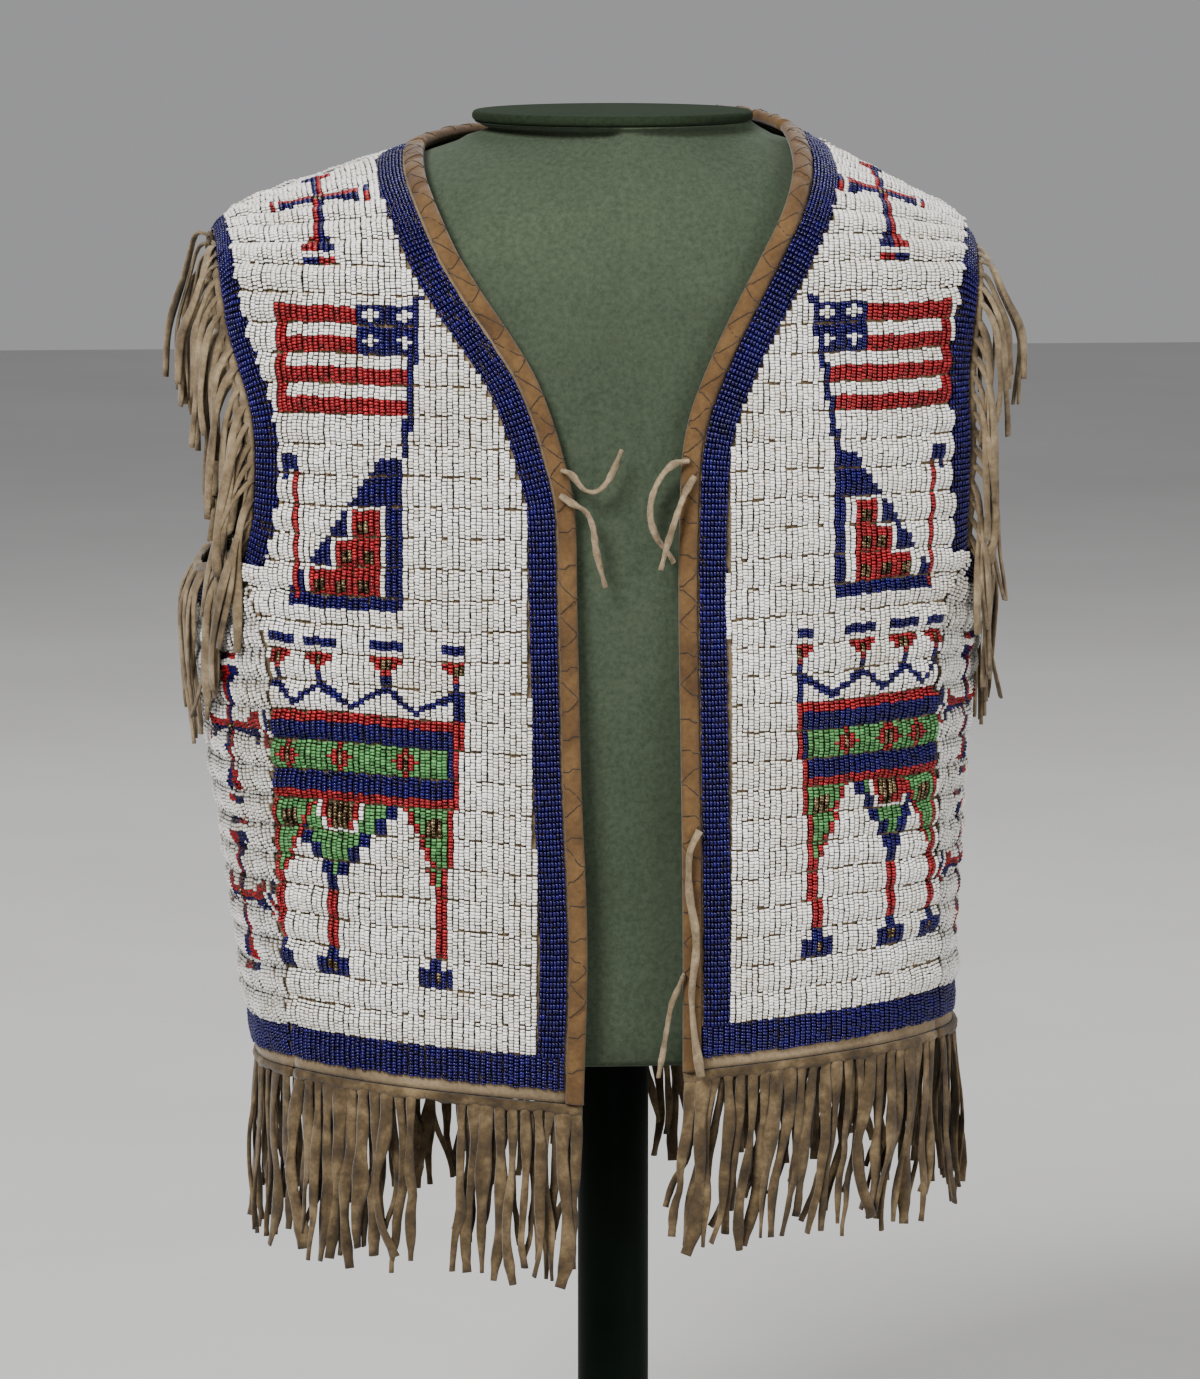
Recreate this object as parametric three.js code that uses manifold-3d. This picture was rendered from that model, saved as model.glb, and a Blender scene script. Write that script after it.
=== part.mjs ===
// A child's beaded hide vest on a limbless dress form with a post and a round base.
// The front faces -Y, +X is the wearer's left, and the origin is the centre of the base's underside.
import * as THREE from "three";
import { mergeVertices } from "three/addons/utils/BufferGeometryUtils.js";
import Module from "manifold-3d";

const wasm = await Module();
wasm.setup();

// Driving sizes, in millimetres.
const HEM_Z = 204; // lower edge of the beaded cloth
const CHEST_Z = 492.5; // above this level the cloth bends over the shoulders
const CHEST_UP = CHEST_Z - HEM_Z; // the same level, measured up the cloth from the hem
const WALL = 3; // hide with its beads
const SEAM = 0.3; // clearance between neighbouring pieces
const EDGE_GAP = 0.55; // along the curved edges, whose pieces are stepped differently
const NECK_CLEARANCE = 1.1;
const LANE = 11.12; // one lane of beadwork
const LANE_RISE = 1; // how far a lane stands over the stitched lines beside it
const HEM_BORDER = 17; // lowest strings, with the bare edge of the hide under them
const FRONT_BORDER = 10.8;
const ARM_BORDER = 11;
const BINDING = 6.8; // folded hide over the opening's edge
const SECTION_POWER = 2.6; // 2 is an ellipse, more is squarer
const SHOULDER_POWER = 2.2;
const RIDGE_Y = 5; // the shoulder seams run at this depth
const ARM_LANE = 17; // lane boundary at which the armholes open
const ARM_DIP = 8; // how far the armhole's floor hangs under that boundary
const FORM_FLOOR = 213;
const FORM_TOP = 562.7;
const PLATE_RADIUS = 53;
const PLATE_TOP = 566.9;
const POST_RADIUS = 13.5;
const BASE_RADIUS = 130;
const BASE_HEIGHT = 12;

// Level sections of the cloth: reach to the wearer's right and left, depth to the front and back.
const SECTIONS = [
  { z: 204, right: 137, left: 131, front: 80, back: 78 },
  { z: 255, right: 142, left: 129, front: 84, back: 82 },
  { z: 305, right: 149, left: 131, front: 87, back: 85 },
  { z: 345, right: 155, left: 134, front: 88, back: 87 },
  { z: 380, right: 158, left: 138, front: 88, back: 88 },
  { z: 430, right: 160, left: 146, front: 88, back: 88 },
  { z: 492.5, right: 163, left: 152, front: 86, back: 88 },
];
// How far the hem hangs above its level at x; it fades out towards the chest.
const FRONT_HEM = [
  { x: -125, lift: 7 },
  { x: -18, lift: -3 },
  { x: 19, lift: 9 },
  { x: 119, lift: 18 },
];
const BACK_HEM = [
  { x: -125, lift: 7 },
  { x: 119, lift: 18 },
];
// The dress form under it, centred on the post.
const FORM_SECTIONS = [
  { z: 213, right: 108, left: 108, front: 70, back: 66 },
  { z: 260, right: 110, left: 108, front: 73, back: 69 },
  { z: 310, right: 114, left: 110, front: 76, back: 73 },
  { z: 360, right: 120, left: 115, front: 80, back: 78 },
  { z: 410, right: 125, left: 121, front: 82, back: 81 },
  { z: 450, right: 127, left: 124, front: 82, back: 82 },
  { z: 492.5, right: 127, left: 125, front: 80.5, back: 82 },
];
// Edges of the cloth: x at a distance up the cloth from the hem.
const OPENING = [
  { up: 0, right: -18, left: 19 },
  { up: 60, right: -17, left: 18.5 },
  { up: 120, right: -19.5, left: 17.5 },
  { up: 185, right: -21, left: 16.5 },
  { up: 222, right: -22, left: 17 },
  { up: 240, right: -26, left: 18 },
  { up: 255, right: -30.5, left: 21 },
  { up: 270, right: -36.5, left: 26.5 },
  { up: 285, right: -45.5, left: 33 },
  { up: 300, right: -55.5, left: 40.5 },
  { up: 315, right: -64, left: 48.5 },
  { up: 330, right: -69.3, left: 56 },
  { up: 345, right: -72.5, left: 61 },
  { up: 360, right: -74, left: 63.5 },
  { up: 380, right: -73.5, left: 64 },
  { up: 410, right: -71, left: 63.5 },
];
const ARMHOLE = [
  { up: 192.5, right: -143.6, left: 129 },
  { up: 205, right: -140.5, left: 128.7 },
  { up: 215, right: -139, left: 129 },
  { up: 240, right: -138.3, left: 129.2 },
  { up: 255, right: -140, left: 128.5 },
  { up: 270, right: -144, left: 128.5 },
  { up: 285, right: -148, left: 130 },
  { up: 300, right: -150, left: 132 },
  { up: 315, right: -151, left: 133.5 },
  { up: 330, right: -151, left: 135 },
  { up: 360, right: -151, left: 137 },
];
const SIDE_SEAM = [
  { up: 0, right: -125, left: 119.5 },
  { up: 30, right: -126, left: 119 },
  { up: 60, right: -129, left: 117.5 },
  { up: 90, right: -130.5, left: 117 },
  { up: 145, right: -132.5, left: 116 },
  { up: 165, right: -134, left: 117.5 },
  { up: 180, right: -138, left: 121 },
  { up: 192.5, right: -143.6, left: 129 },
];
const BACK_NECK = [
  { up: 350, right: -6, left: 6 },
  { up: 361.25, right: -36, left: 33 },
  { up: 372.5, right: -54, left: 49 },
  { up: 383.75, right: -67, left: 60 },
  { up: 394, right: -76.5, left: 67 },
  { up: 400, right: -79, left: 70 },
];
const NECK_POINT = { right: -79, left: 71.5 }; // where the beaded cloth meets the shoulder seam
const SIDES = { right: -1, left: 1 };
const FACES = { front: -1, back: 1 };

const hide = (colour, roughness) => new THREE.MeshStandardMaterial({ color: colour, roughness, metalness: 0 });
const BEADS = hide("#e3dfd6", 0.35);
const BINDING_HIDE = hide("#a9793d", 0.8);
const FRINGE_HIDE = hide("#c2a27d", 0.9);
const TIE_HIDE = hide("#8d6a45", 0.85);
const SUEDE = hide("#8f9678", 0.95);
const DARK_PAINT = hide("#16231f", 0.35);

const group = new THREE.Group();
group.name = "beaded_vest_on_dress_form";

// ---- small vector helpers on [x, y, z]
const plus = (a, b, k = 1) => [a[0] + b[0] * k, a[1] + b[1] * k, a[2] + b[2] * k];
const minus = (a, b) => plus(a, b, -1);
const cross = (a, b) => [a[1] * b[2] - a[2] * b[1], a[2] * b[0] - a[0] * b[2], a[0] * b[1] - a[1] * b[0]];
const dot = (a, b) => a[0] * b[0] + a[1] * b[1] + a[2] * b[2];
const size = (a) => Math.hypot(a[0], a[1], a[2]);
const unit = (a) => plus([0, 0, 0], a, 1 / size(a));
const mix = (a, b, t) => a + (b - a) * t;
const between = (a, b, t) => [mix(a[0], b[0], t), mix(a[1], b[1], t), mix(a[2], b[2], t)];

// A smooth curve through a table's rows: the value of one column where another has the value given.
function look(table, by, at, column) {
  const last = table.length - 1;
  if (at <= table[0][by]) return table[0][column];
  if (at >= table[last][by]) return table[last][column];
  let i = 0;
  while (table[i + 1][by] < at) i += 1;
  const slope = (j) => {
    const a = table[Math.max(0, j - 1)];
    const b = table[Math.min(last, j + 1)];
    return (b[column] - a[column]) / (b[by] - a[by]);
  };
  const span = table[i + 1][by] - table[i][by];
  const t = (at - table[i][by]) / span;
  const from = table[i][column];
  const to = table[i + 1][column];
  return (
    from * (1 + 2 * t) * (1 - t) ** 2 +
    slope(i) * span * t * (1 - t) ** 2 +
    to * t * t * (3 - 2 * t) -
    slope(i + 1) * span * t * t * (1 - t)
  );
}

// ---- the cloth's surface
const reach = (table, side, z) => look(table, "z", z, side < 0 ? "right" : "left");
const depth = (table, face, z) => look(table, "z", z, face < 0 ? "front" : "back");

const straight = (table, x) => {
  const last = table.length - 1;
  if (x <= table[0].x) return table[0].lift;
  if (x >= table[last].x) return table[last].lift;
  const i = table.findIndex((row) => row.x > x) - 1;
  return mix(table[i].lift, table[i + 1].lift, (x - table[i].x) / (table[i + 1].x - table[i].x));
};
// Height of a point up the cloth, under the chest level.
const heightAt = (x, up, face) => {
  const lift = straight(face < 0 ? FRONT_HEM : BACK_HEM, x);
  return HEM_Z + up + lift * Math.max(0, 1 - up / CHEST_UP);
};

// Depth of a level section at x.
function sectionY(table, x, z, face) {
  const part = Math.min(1, Math.abs(x) / reach(table, x, z));
  return face * depth(table, face, z) * (1 - part ** SECTION_POWER) ** (1 / SECTION_POWER);
}

// Height of the shoulder seam over x.
function ridge(x) {
  const out = Math.abs(x);
  const drop = x < 0 ? 0.36 : 0.54;
  const bend = Math.max(0, out - (x < 0 ? 137 : 122));
  return (x < 0 ? 556 : 559) - (out - 70) * drop - 0.02 * bend * bend;
}

// A point of the shoulder's fold: turn 0 is at the chest level, turn 1 is on the seam.
function shoulderPoint(x, turn, face) {
  const angle = (turn * Math.PI) / 2;
  const chest = sectionY(SECTIONS, x, CHEST_Z, face);
  const inward = Math.max(0, Math.cos(angle)) ** (2 / SHOULDER_POWER);
  const upward = Math.sin(angle) ** (2 / SHOULDER_POWER);
  return [x, RIDGE_Y + (chest - RIDGE_Y) * inward, CHEST_Z + (ridge(x) - CHEST_Z) * upward];
}

const TURN_STEPS = 40;
// Distance up the cloth to the shoulder seam over x.
function ridgeUp(x, face) {
  let up = CHEST_UP;
  for (let i = 0; i < TURN_STEPS; i += 1) {
    const a = shoulderPoint(x, i / TURN_STEPS, face);
    const b = shoulderPoint(x, (i + 1) / TURN_STEPS, face);
    up += size(minus(b, a));
  }
  return up;
}

// The surface point over x at a distance up the cloth.
function clothPoint(x, up, face) {
  if (up <= CHEST_UP) {
    const z = heightAt(x, up, face);
    return [x, sectionY(SECTIONS, x, z, face), z];
  }
  let walked = CHEST_UP;
  for (let i = 0; i < TURN_STEPS; i += 1) {
    const a = shoulderPoint(x, i / TURN_STEPS, face);
    const b = shoulderPoint(x, (i + 1) / TURN_STEPS, face);
    const step = size(minus(b, a));
    if (walked + step >= up) return between(a, b, (up - walked) / step);
    walked += step;
  }
  return [x, RIDGE_Y, ridge(x)];
}

// Round a level section: way 0 is the front's middle, 1 the side, 2 the back's middle.
function roundPoint(table, side, way, z) {
  const angle = (way * Math.PI) / 2;
  const across = Math.abs(Math.sin(angle)) ** (2 / SECTION_POWER);
  const along = Math.abs(Math.cos(angle)) ** (2 / SECTION_POWER);
  const face = way < 1 ? FACES.front : FACES.back;
  return [side * reach(table, side, z) * across, face * depth(table, face, z) * along, z];
}
function wayAt(side, x, z, face) {
  const part = Math.min(1, Math.abs(x) / reach(SECTIONS, side, z));
  const way = (Math.asin(part ** (SECTION_POWER / 2)) * 2) / Math.PI;
  return face < 0 ? way : 2 - way;
}

// How far out a point is: 1 on the cloth's surface, less inside it.
function level(p, over) {
  const [x, y, z] = p;
  if (!over) {
    const across = Math.abs(x) / reach(SECTIONS, x, z);
    const along = Math.abs(y) / depth(SECTIONS, y, z);
    return (across ** SECTION_POWER + along ** SECTION_POWER) ** (1 / SECTION_POWER);
  }
  const face = y < RIDGE_Y ? FACES.front : FACES.back;
  const chest = sectionY(SECTIONS, x, CHEST_Z, face);
  const along = Math.abs((y - RIDGE_Y) / (chest - RIDGE_Y));
  const upward = Math.max(0, (z - CHEST_Z) / (ridge(x) - CHEST_Z));
  return (along ** SHOULDER_POWER + upward ** SHOULDER_POWER) ** (1 / SHOULDER_POWER);
}
function normalAt(p) {
  const over = p[2] > CHEST_Z;
  const step = 0.4;
  const slope = [0, 1, 2].map((i) => {
    const ahead = [...p];
    const behind = [...p];
    ahead[i] += step;
    behind[i] -= step;
    return level(ahead, over) - level(behind, over);
  });
  return unit(slope);
}
// Moves a point near the cloth onto its surface.
function settle(p) {
  const by = 1 / level(p, p[2] > CHEST_Z);
  if (p[2] <= CHEST_Z) return [p[0] * by, p[1] * by, p[2]];
  return [p[0], RIDGE_Y + (p[1] - RIDGE_Y) * by, CHEST_Z + (p[2] - CHEST_Z) * by];
}

// ---- rows of points across a panel
const FINE = 60;
// Points of a curve at distances from its start, then evenly, then at distances from its end.
function spaced(curve, fromStart, cells, fromEnd) {
  const points = Array.from({ length: FINE + 1 }, (_, i) => curve(i / FINE));
  const walked = [0];
  for (let i = 1; i <= FINE; i += 1) walked.push(walked[i - 1] + size(minus(points[i], points[i - 1])));
  const whole = walked[FINE];
  const taken = (fromStart.at(-1) ?? 0) + (fromEnd[0] ?? 0);
  const squeeze = Math.min(1, (0.75 * whole) / Math.max(taken, 1e-6));
  const starts = fromStart.map((d) => d * squeeze);
  const ends = fromEnd.map((d) => whole - d * squeeze);
  const low = starts.at(-1) ?? 0;
  const high = ends[0] ?? whole;
  const middle = Array.from({ length: cells - 1 }, (_, i) => mix(low, high, (i + 1) / cells));
  return [...starts, ...middle, ...ends].map((d) => {
    let i = 1;
    while (i < FINE && walked[i] < d) i += 1;
    const t = (d - walked[i - 1]) / (walked[i] - walked[i - 1]);
    return between(points[i - 1], points[i], Math.min(1, Math.max(0, t)));
  });
}

const slant = (table, up, column) => {
  const slope = (look(table, "up", up + 2, column) - look(table, "up", up - 2, column)) / 4;
  return Math.hypot(1, Math.min(1.2, Math.abs(slope)));
};

// Where a row ends at the armhole, or on the shoulder seam above it.
function outerEnd(name, face, up) {
  const arm = look(ARMHOLE, "up", up, name);
  const top = ridgeUp(arm, face);
  if (up < top - 6) return { x: arm, up };
  if (up < top + 1) return { x: arm, up: top };
  let far = arm;
  let near = NECK_POINT[name];
  for (let i = 0; i < 30; i += 1) {
    const x = (far + near) / 2;
    if (ridgeUp(x, face) < up) far = x;
    else near = x;
  }
  return { x: near, up };
}

// Keeps the two sides of the shoulder seam apart.
const offSeam = (p, face) => [p[0], face * Math.max(face * p[1], face * RIDGE_Y + SEAM / 2), p[2]];

// ---- lane boundaries, up the cloth
const boundary = (n) => (n === 0 ? 0 : HEM_BORDER + LANE * (n - 1));
const TOP_LANE = 35;

// A wall made of a grid: two outer rows and one inner row to a lane.
// outer[k][c] has twice as many steps as inner[m][c]; has(m, c) says which cells are cloth.
function wallTriangles(outer, inner, has) {
  const faces = [];
  const quad = (a, b, c, d) => faces.push([a, b, c], [a, c, d]);
  const lanes = inner.length - 1;
  const cells = Math.max(...inner.map((row) => row.length)) - 1;
  for (let m = 0; m < lanes; m += 1) {
    const k = 2 * m;
    for (let c = 0; c < cells; c += 1) {
      if (!has(m, c)) continue;
      quad(outer[k][c], outer[k][c + 1], outer[k + 1][c + 1], outer[k + 1][c]);
      quad(outer[k + 1][c], outer[k + 1][c + 1], outer[k + 2][c + 1], outer[k + 2][c]);
      quad(inner[m][c + 1], inner[m][c], inner[m + 1][c], inner[m + 1][c + 1]);
      if (!has(m - 1, c)) quad(inner[m][c], inner[m][c + 1], outer[k][c + 1], outer[k][c]);
      if (!has(m + 1, c)) {
        quad(outer[k + 2][c], outer[k + 2][c + 1], inner[m + 1][c + 1], inner[m + 1][c]);
      }
      const rim = (at, turned) => {
        const fan = [
          [outer[k][at], outer[k + 1][at], inner[m][at]],
          [inner[m][at], outer[k + 1][at], inner[m + 1][at]],
          [outer[k + 1][at], outer[k + 2][at], inner[m + 1][at]],
        ];
        fan.forEach((f) => faces.push(turned ? [f[0], f[2], f[1]] : f));
      };
      if (!has(m, c - 1)) rim(c, false);
      if (!has(m, c + 1)) rim(c + 1, true);
    }
  }
  return faces;
}

// Turns a list of triangles into a geometry that faces outwards.
function geometryOf(faces) {
  const volume = faces.reduce((sum, [a, b, c]) => sum + dot(a, cross(b, c)), 0);
  const flat = faces.flatMap(([a, b, c]) => (volume > 0 ? [...a, ...b, ...c] : [...a, ...c, ...b]));
  const geometry = new THREE.BufferGeometry();
  geometry.setAttribute("position", new THREE.Float32BufferAttribute(flat, 3));
  return mergeVertices(geometry, 1e-3);
}

function addPiece(name, geometry, material) {
  const finished = geometry.clone();
  finished.computeVertexNormals();
  const mesh = new THREE.Mesh(finished, material);
  mesh.name = name;
  group.add(mesh);
  return mesh;
}

// A solid through sections of equal length, closed at both ends.
function loftTriangles(sections) {
  const faces = [];
  const count = sections[0].length;
  for (let i = 0; i + 1 < sections.length; i += 1) {
    for (let j = 0; j < count; j += 1) {
      const n = (j + 1) % count;
      faces.push([sections[i][j], sections[i][n], sections[i + 1][n]]);
      faces.push([sections[i][j], sections[i + 1][n], sections[i + 1][j]]);
    }
  }
  const cap = (ring, turned) => {
    for (let j = 1; j + 1 < count; j += 1) {
      faces.push(turned ? [ring[0], ring[j], ring[j + 1]] : [ring[0], ring[j + 1], ring[j]]);
    }
  };
  cap(sections[0], false);
  cap(sections.at(-1), true);
  return faces;
}

// ---- front panels
// Columns: edge, border's crown, border's foot, field, armhole border's foot, its crown, edge.
const FRONT_START = [0, FRONT_BORDER / 2, FRONT_BORDER];
const FRONT_CELLS = 3;
const ARM_END = [ARM_BORDER, ARM_BORDER / 2, 0];
const FRONT_COLUMNS = FRONT_START.length + FRONT_CELLS - 1 + ARM_END.length;

// Relief of the beadwork at a grid point.
function relief(k, c, columns, crowns, feet, hemTo) {
  const edge = c === 0 || c === columns - 1;
  if (k === 0 || edge) return 0;
  if (crowns.includes(c) && k > hemTo) return LANE_RISE * 0.8;
  if (feet.includes(c) && k > hemTo) return 0.1;
  return k % 2 === 1 ? LANE_RISE : 0;
}

function frontRow(name, up) {
  const face = FACES.front;
  const onSeam = up >= boundary(TOP_LANE);
  const clear = BINDING + EDGE_GAP;
  const open = look(OPENING, "up", up, name);
  const startX = open + SIDES[name] * 0.001;
  const wide = slant(OPENING, up, name);
  if (onSeam) {
    const from = NECK_POINT[name];
    return spaced((q) => offSeam([from + SIDES[name] * 8 * q, RIDGE_Y, ridge(from + SIDES[name] * 8 * q)], face),
      FRONT_START, FRONT_CELLS, ARM_END);
  }
  const end = up < boundary(ARM_LANE)
    ? { x: look(SIDE_SEAM, "up", up, name) - SIDES[name] * SEAM * 0.8, up }
    : outerEnd(name, face, up);
  const row = (q) => clothPoint(mix(startX, end.x, q), mix(up, end.up, q), face);
  const starts = FRONT_START.map((d) => (d + clear) * wide);
  return spaced(row, starts, FRONT_CELLS, ARM_END).map((p) => offSeam(p, face));
}

function levelsFor(topUp) {
  const levels = [];
  for (let n = 0; n < TOP_LANE; n += 1) {
    levels.push(boundary(n));
    levels.push(n === TOP_LANE - 1 ? mix(boundary(n), topUp, 0.5) : mix(boundary(n), boundary(n + 1), 0.5));
  }
  levels.push(boundary(TOP_LANE));
  return levels;
}

function frontPanel(name) {
  const rows = levelsFor(boundary(TOP_LANE) - 1).map((up) => frontRow(name, up));
  const outer = rows.map((row, k) => row.map((p, c) => {
    const lift = relief(k, c, FRONT_COLUMNS, [1, FRONT_COLUMNS - 2], [2, FRONT_COLUMNS - 3], 2);
    const armCrown = c === FRONT_COLUMNS - 2 || c === FRONT_COLUMNS - 3;
    const low = armCrown && (k < 2 * ARM_LANE || k > 2 * 30);
    return plus(p, normalAt(p), low ? relief(k, 3, FRONT_COLUMNS, [], [], 2) : lift);
  }));
  const inner = rows.filter((_, k) => k % 2 === 0).map((row) => row.map((p) => plus(p, normalAt(p), -WALL)));
  const has = (m, c) => m >= 0 && m < TOP_LANE && c >= 0 && c < FRONT_COLUMNS - 1;
  addPiece(`${name}_front`, geometryOf(wallTriangles(outer, inner, has)), BEADS);
}
frontPanel("right");
frontPanel("left");

// ---- back panel, round both sides to the side seams
const SIDE_CELLS = 5;
const HALF_START = [0, ARM_BORDER / 2, ARM_BORDER];
const HALF_CELLS = 2;
const HALF = SIDE_CELLS + HALF_START.length - 1 + HALF_CELLS; // cells from the side seam to the back's middle
const NECK_LANE = 31; // lane boundary at the bottom of the back neck
const BACK_TOP = 35;

// From the side seam or the armhole towards the back's middle.
function halfRow(name, n, up) {
  const side = SIDES[name];
  const face = FACES.back;
  const mid = side * 6;
  if (up > boundary(ARM_LANE)) {
    const onSeam = n >= BACK_TOP;
    const from = NECK_POINT[name];
    if (onSeam) {
      const onRidge = (q) => {
        const x = from + side * 8 * (1 - q);
        return offSeam([x, RIDGE_Y, ridge(x)], face);
      };
      return spaced(onRidge, HALF_START, HALF_CELLS, [0]);
    }
    const end = outerEnd(name, face, up);
    const stop = up > boundary(NECK_LANE) ? look(BACK_NECK, "up", up, name) : mid;
    const row = (q) => clothPoint(mix(end.x, stop, q), mix(end.up, up, q), face);
    return spaced(row, HALF_START, HALF_CELLS, [0]).map((p) => offSeam(p, face));
  }
  const z = heightAt(side * 130, up, face);
  const seamX = look(SIDE_SEAM, "up", up, name) + side * SEAM * 0.8;
  const corner = look(ARMHOLE, "up", Math.max(up, boundary(ARM_LANE)), name);
  const cornerX = Math.sign(corner) * Math.min(Math.abs(corner), reach(SECTIONS, side, z) * 0.905);
  const from = wayAt(side, seamX, z, FACES.front);
  const to = wayAt(side, cornerX, z, FACES.back);
  const round = spaced((q) => roundPoint(SECTIONS, side, mix(from, to, q), z), [0], SIDE_CELLS, [0]);
  const lanesBelow = (boundary(ARM_LANE) - up) / LANE;
  const share = Math.max(0, 1 - Math.max(0, lanesBelow - 1) / 5) ** 1.5;
  const sagged = round.map((p, i) => {
    const sag = ARM_DIP * share * Math.sin((Math.PI * i) / SIDE_CELLS) ** 0.8;
    return settle([p[0], p[1], p[2] - sag]);
  });
  const row = (q) => clothPoint(mix(cornerX, mid, q), up, face);
  return [...sagged, ...spaced(row, HALF_START, HALF_CELLS, [0]).slice(1)];
}

function backPanel() {
  const heights = [];
  for (let n = 0; n <= BACK_TOP; n += 1) {
    heights.push([n, boundary(n)]);
    if (n < BACK_TOP) heights.push([n + 0.5, mix(boundary(n), boundary(n + 1), 0.5)]);
  }
  const rows = heights.map(([n, up]) => {
    const halves = ["right", "left"].map((name) => {
      const top = n === BACK_TOP - 0.5 ? mix(boundary(BACK_TOP - 1), ridgeUp(NECK_POINT[name], 1), 0.5) : up;
      const half = halfRow(name, n, top);
      return half.length > HALF ? half : [...Array(SIDE_CELLS).fill(null), ...half];
    });
    return [...halves[0], ...halves[1].reverse()];
  });
  const columns = 2 * HALF + 2;
  const liftAt = (k, c) => {
    const at = Math.min(c, columns - 1 - c);
    const upper = k > 2 * ARM_LANE;
    if (k === 0 || at === 0) return 0;
    if (upper && at === SIDE_CELLS) return 0;
    if (upper && k < 2 * 30 && at === SIDE_CELLS + 1) return LANE_RISE * 0.8;
    if (upper && k < 2 * 30 && at === SIDE_CELLS + 2) return 0.1;
    return k % 2 === 1 ? LANE_RISE : 0;
  };
  const outer = rows.map((row, k) => row.map((p, c) => p && plus(p, normalAt(p), liftAt(k, c))));
  const inner = rows.filter((_, k) => k % 2 === 0).map((row) => row.map((p) => p && plus(p, normalAt(p), -WALL)));
  const has = (m, c) => {
    if (m < 0 || m >= BACK_TOP || c < 0 || c > columns - 2) return false;
    const at = Math.min(c, columns - 2 - c);
    if (m >= ARM_LANE && at < SIDE_CELLS) return false;
    return !(m >= NECK_LANE && c === HALF);
  };
  addPiece("back", geometryOf(wallTriangles(outer, inner, has)), BEADS);
  return rows;
}
const backRows = backPanel();

// ---- folded hide bindings along the opening
// Sections round the binding: distance in from the edge, distance out of the cloth.
const BINDING_SECTION = [
  { in: 0, out: -1.2 },
  { in: 1.4, out: 1.3 },
  { in: 4.8, out: 1.6 },
  { in: BINDING, out: 0.6 },
  { in: BINDING, out: -3 },
  { in: 2.4, out: -3.4 },
];

function frontBinding(name) {
  const side = SIDES[name];
  const face = FACES.front;
  const sections = [];
  for (let n = 0; n <= TOP_LANE; n += 1) {
    const up = boundary(n);
    const open = look(OPENING, "up", up, name);
    const wide = slant(OPENING, up, name);
    const row = (q) => clothPoint(open + side * 24 * q, up, face);
    const along = spaced(row, BINDING_SECTION.map((s) => s.in * wide), 1, []);
    sections.push(along.slice(0, BINDING_SECTION.length).map((p, i) => {
      const out = plus(p, normalAt(p), BINDING_SECTION[i].out);
      return offSeam(out, face);
    }));
  }
  const edge = NECK_POINT[name] - side * (BINDING + SEAM);
  sections.push(BINDING_SECTION.map((s) => {
    const x = edge + side * s.in;
    const p = [x, RIDGE_Y, ridge(x)];
    return offSeam(plus(p, normalAt(p), s.out), face);
  }));
  addPiece(`${name}_front_binding`, geometryOf(loftTriangles(sections)), BINDING_HIDE);
}
frontBinding("right");
frontBinding("left");

// Points along a panel's edge, each with the way off the cloth in its surface.
function edgeFrames(points, towards) {
  return points.map((p, i) => {
    const before = points[Math.max(0, i - 1)];
    const after = points[Math.min(points.length - 1, i + 1)];
    const normal = normalAt(p);
    const along = unit(minus(after, before));
    const off = unit(cross(normal, along));
    const sign = dot(off, minus(towards, p)) > 0 ? 1 : -1;
    return { p, normal, off: plus([0, 0, 0], off, sign), along };
  });
}

function backBinding() {
  const rows = backRows.slice(2 * NECK_LANE);
  const points = [...rows.map((row) => row[HALF]).reverse(), ...rows.map((row) => row[HALF + 1])];
  const frames = edgeFrames(points, [-3, RIDGE_Y, 575]);
  const sections = frames.map(({ p, normal, off }, i) => {
    const atSeam = i === 0 || i === frames.length - 1;
    return BINDING_SECTION.map((s) => {
      const away = BINDING - s.in + NECK_CLEARANCE;
      if (!atSeam) return offSeam(plus(plus(p, off, away), normal, s.out), FACES.back);
      const x = p[0] - Math.sign(p[0]) * away;
      const onRidge = [x, RIDGE_Y, ridge(x)];
      const lifted = plus(onRidge, normalAt(onRidge), s.out);
      return [lifted[0], RIDGE_Y + SEAM / 2, lifted[2]];
    });
  });
  addPiece("back_neck_binding", geometryOf(loftTriangles(sections)), BINDING_HIDE);
}
backBinding();

// ---- fringe: hide strands cut from a narrow strip
const BAND_DEPTH = 5;
const BAND_OUT = { outer: -0.3, inner: -2.5 };
const STRAND_THICK = 1.5;
const noise = (i, k) => {
  const wave = Math.sin(i * 12.9898 + k * 78.233) * 43758.5453;
  return wave - Math.floor(wave);
};

function solidFrom(faces) {
  const g = geometryOf(faces);
  return new wasm.Manifold(new wasm.Mesh({
    numProp: 3,
    vertProperties: g.attributes.position.array,
    triVerts: new Uint32Array(g.index.array),
  }));
}
function geometryFrom(solid) {
  const made = solid.getMesh();
  const geometry = new THREE.BufferGeometry();
  geometry.setAttribute("position", new THREE.BufferAttribute(made.vertProperties, 3));
  geometry.setIndex(new THREE.BufferAttribute(made.triVerts, 1));
  return geometry;
}

// A flat strand along its path; across is its wide way.
function strandTriangles(path, widths, across) {
  const sections = path.map((p, i) => {
    const ahead = minus(path[Math.min(path.length - 1, i + 1)], path[Math.max(0, i - 1)]);
    const thick = unit(cross(across, ahead));
    const wide = unit(cross(ahead, thick));
    const w = widths[i] / 2;
    const t = STRAND_THICK / 2;
    return [[w, t], [-w, t], [0, -t]].map(([a, b]) => plus(plus(p, wide, a), thick, b));
  });
  return loftTriangles(sections);
}

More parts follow.
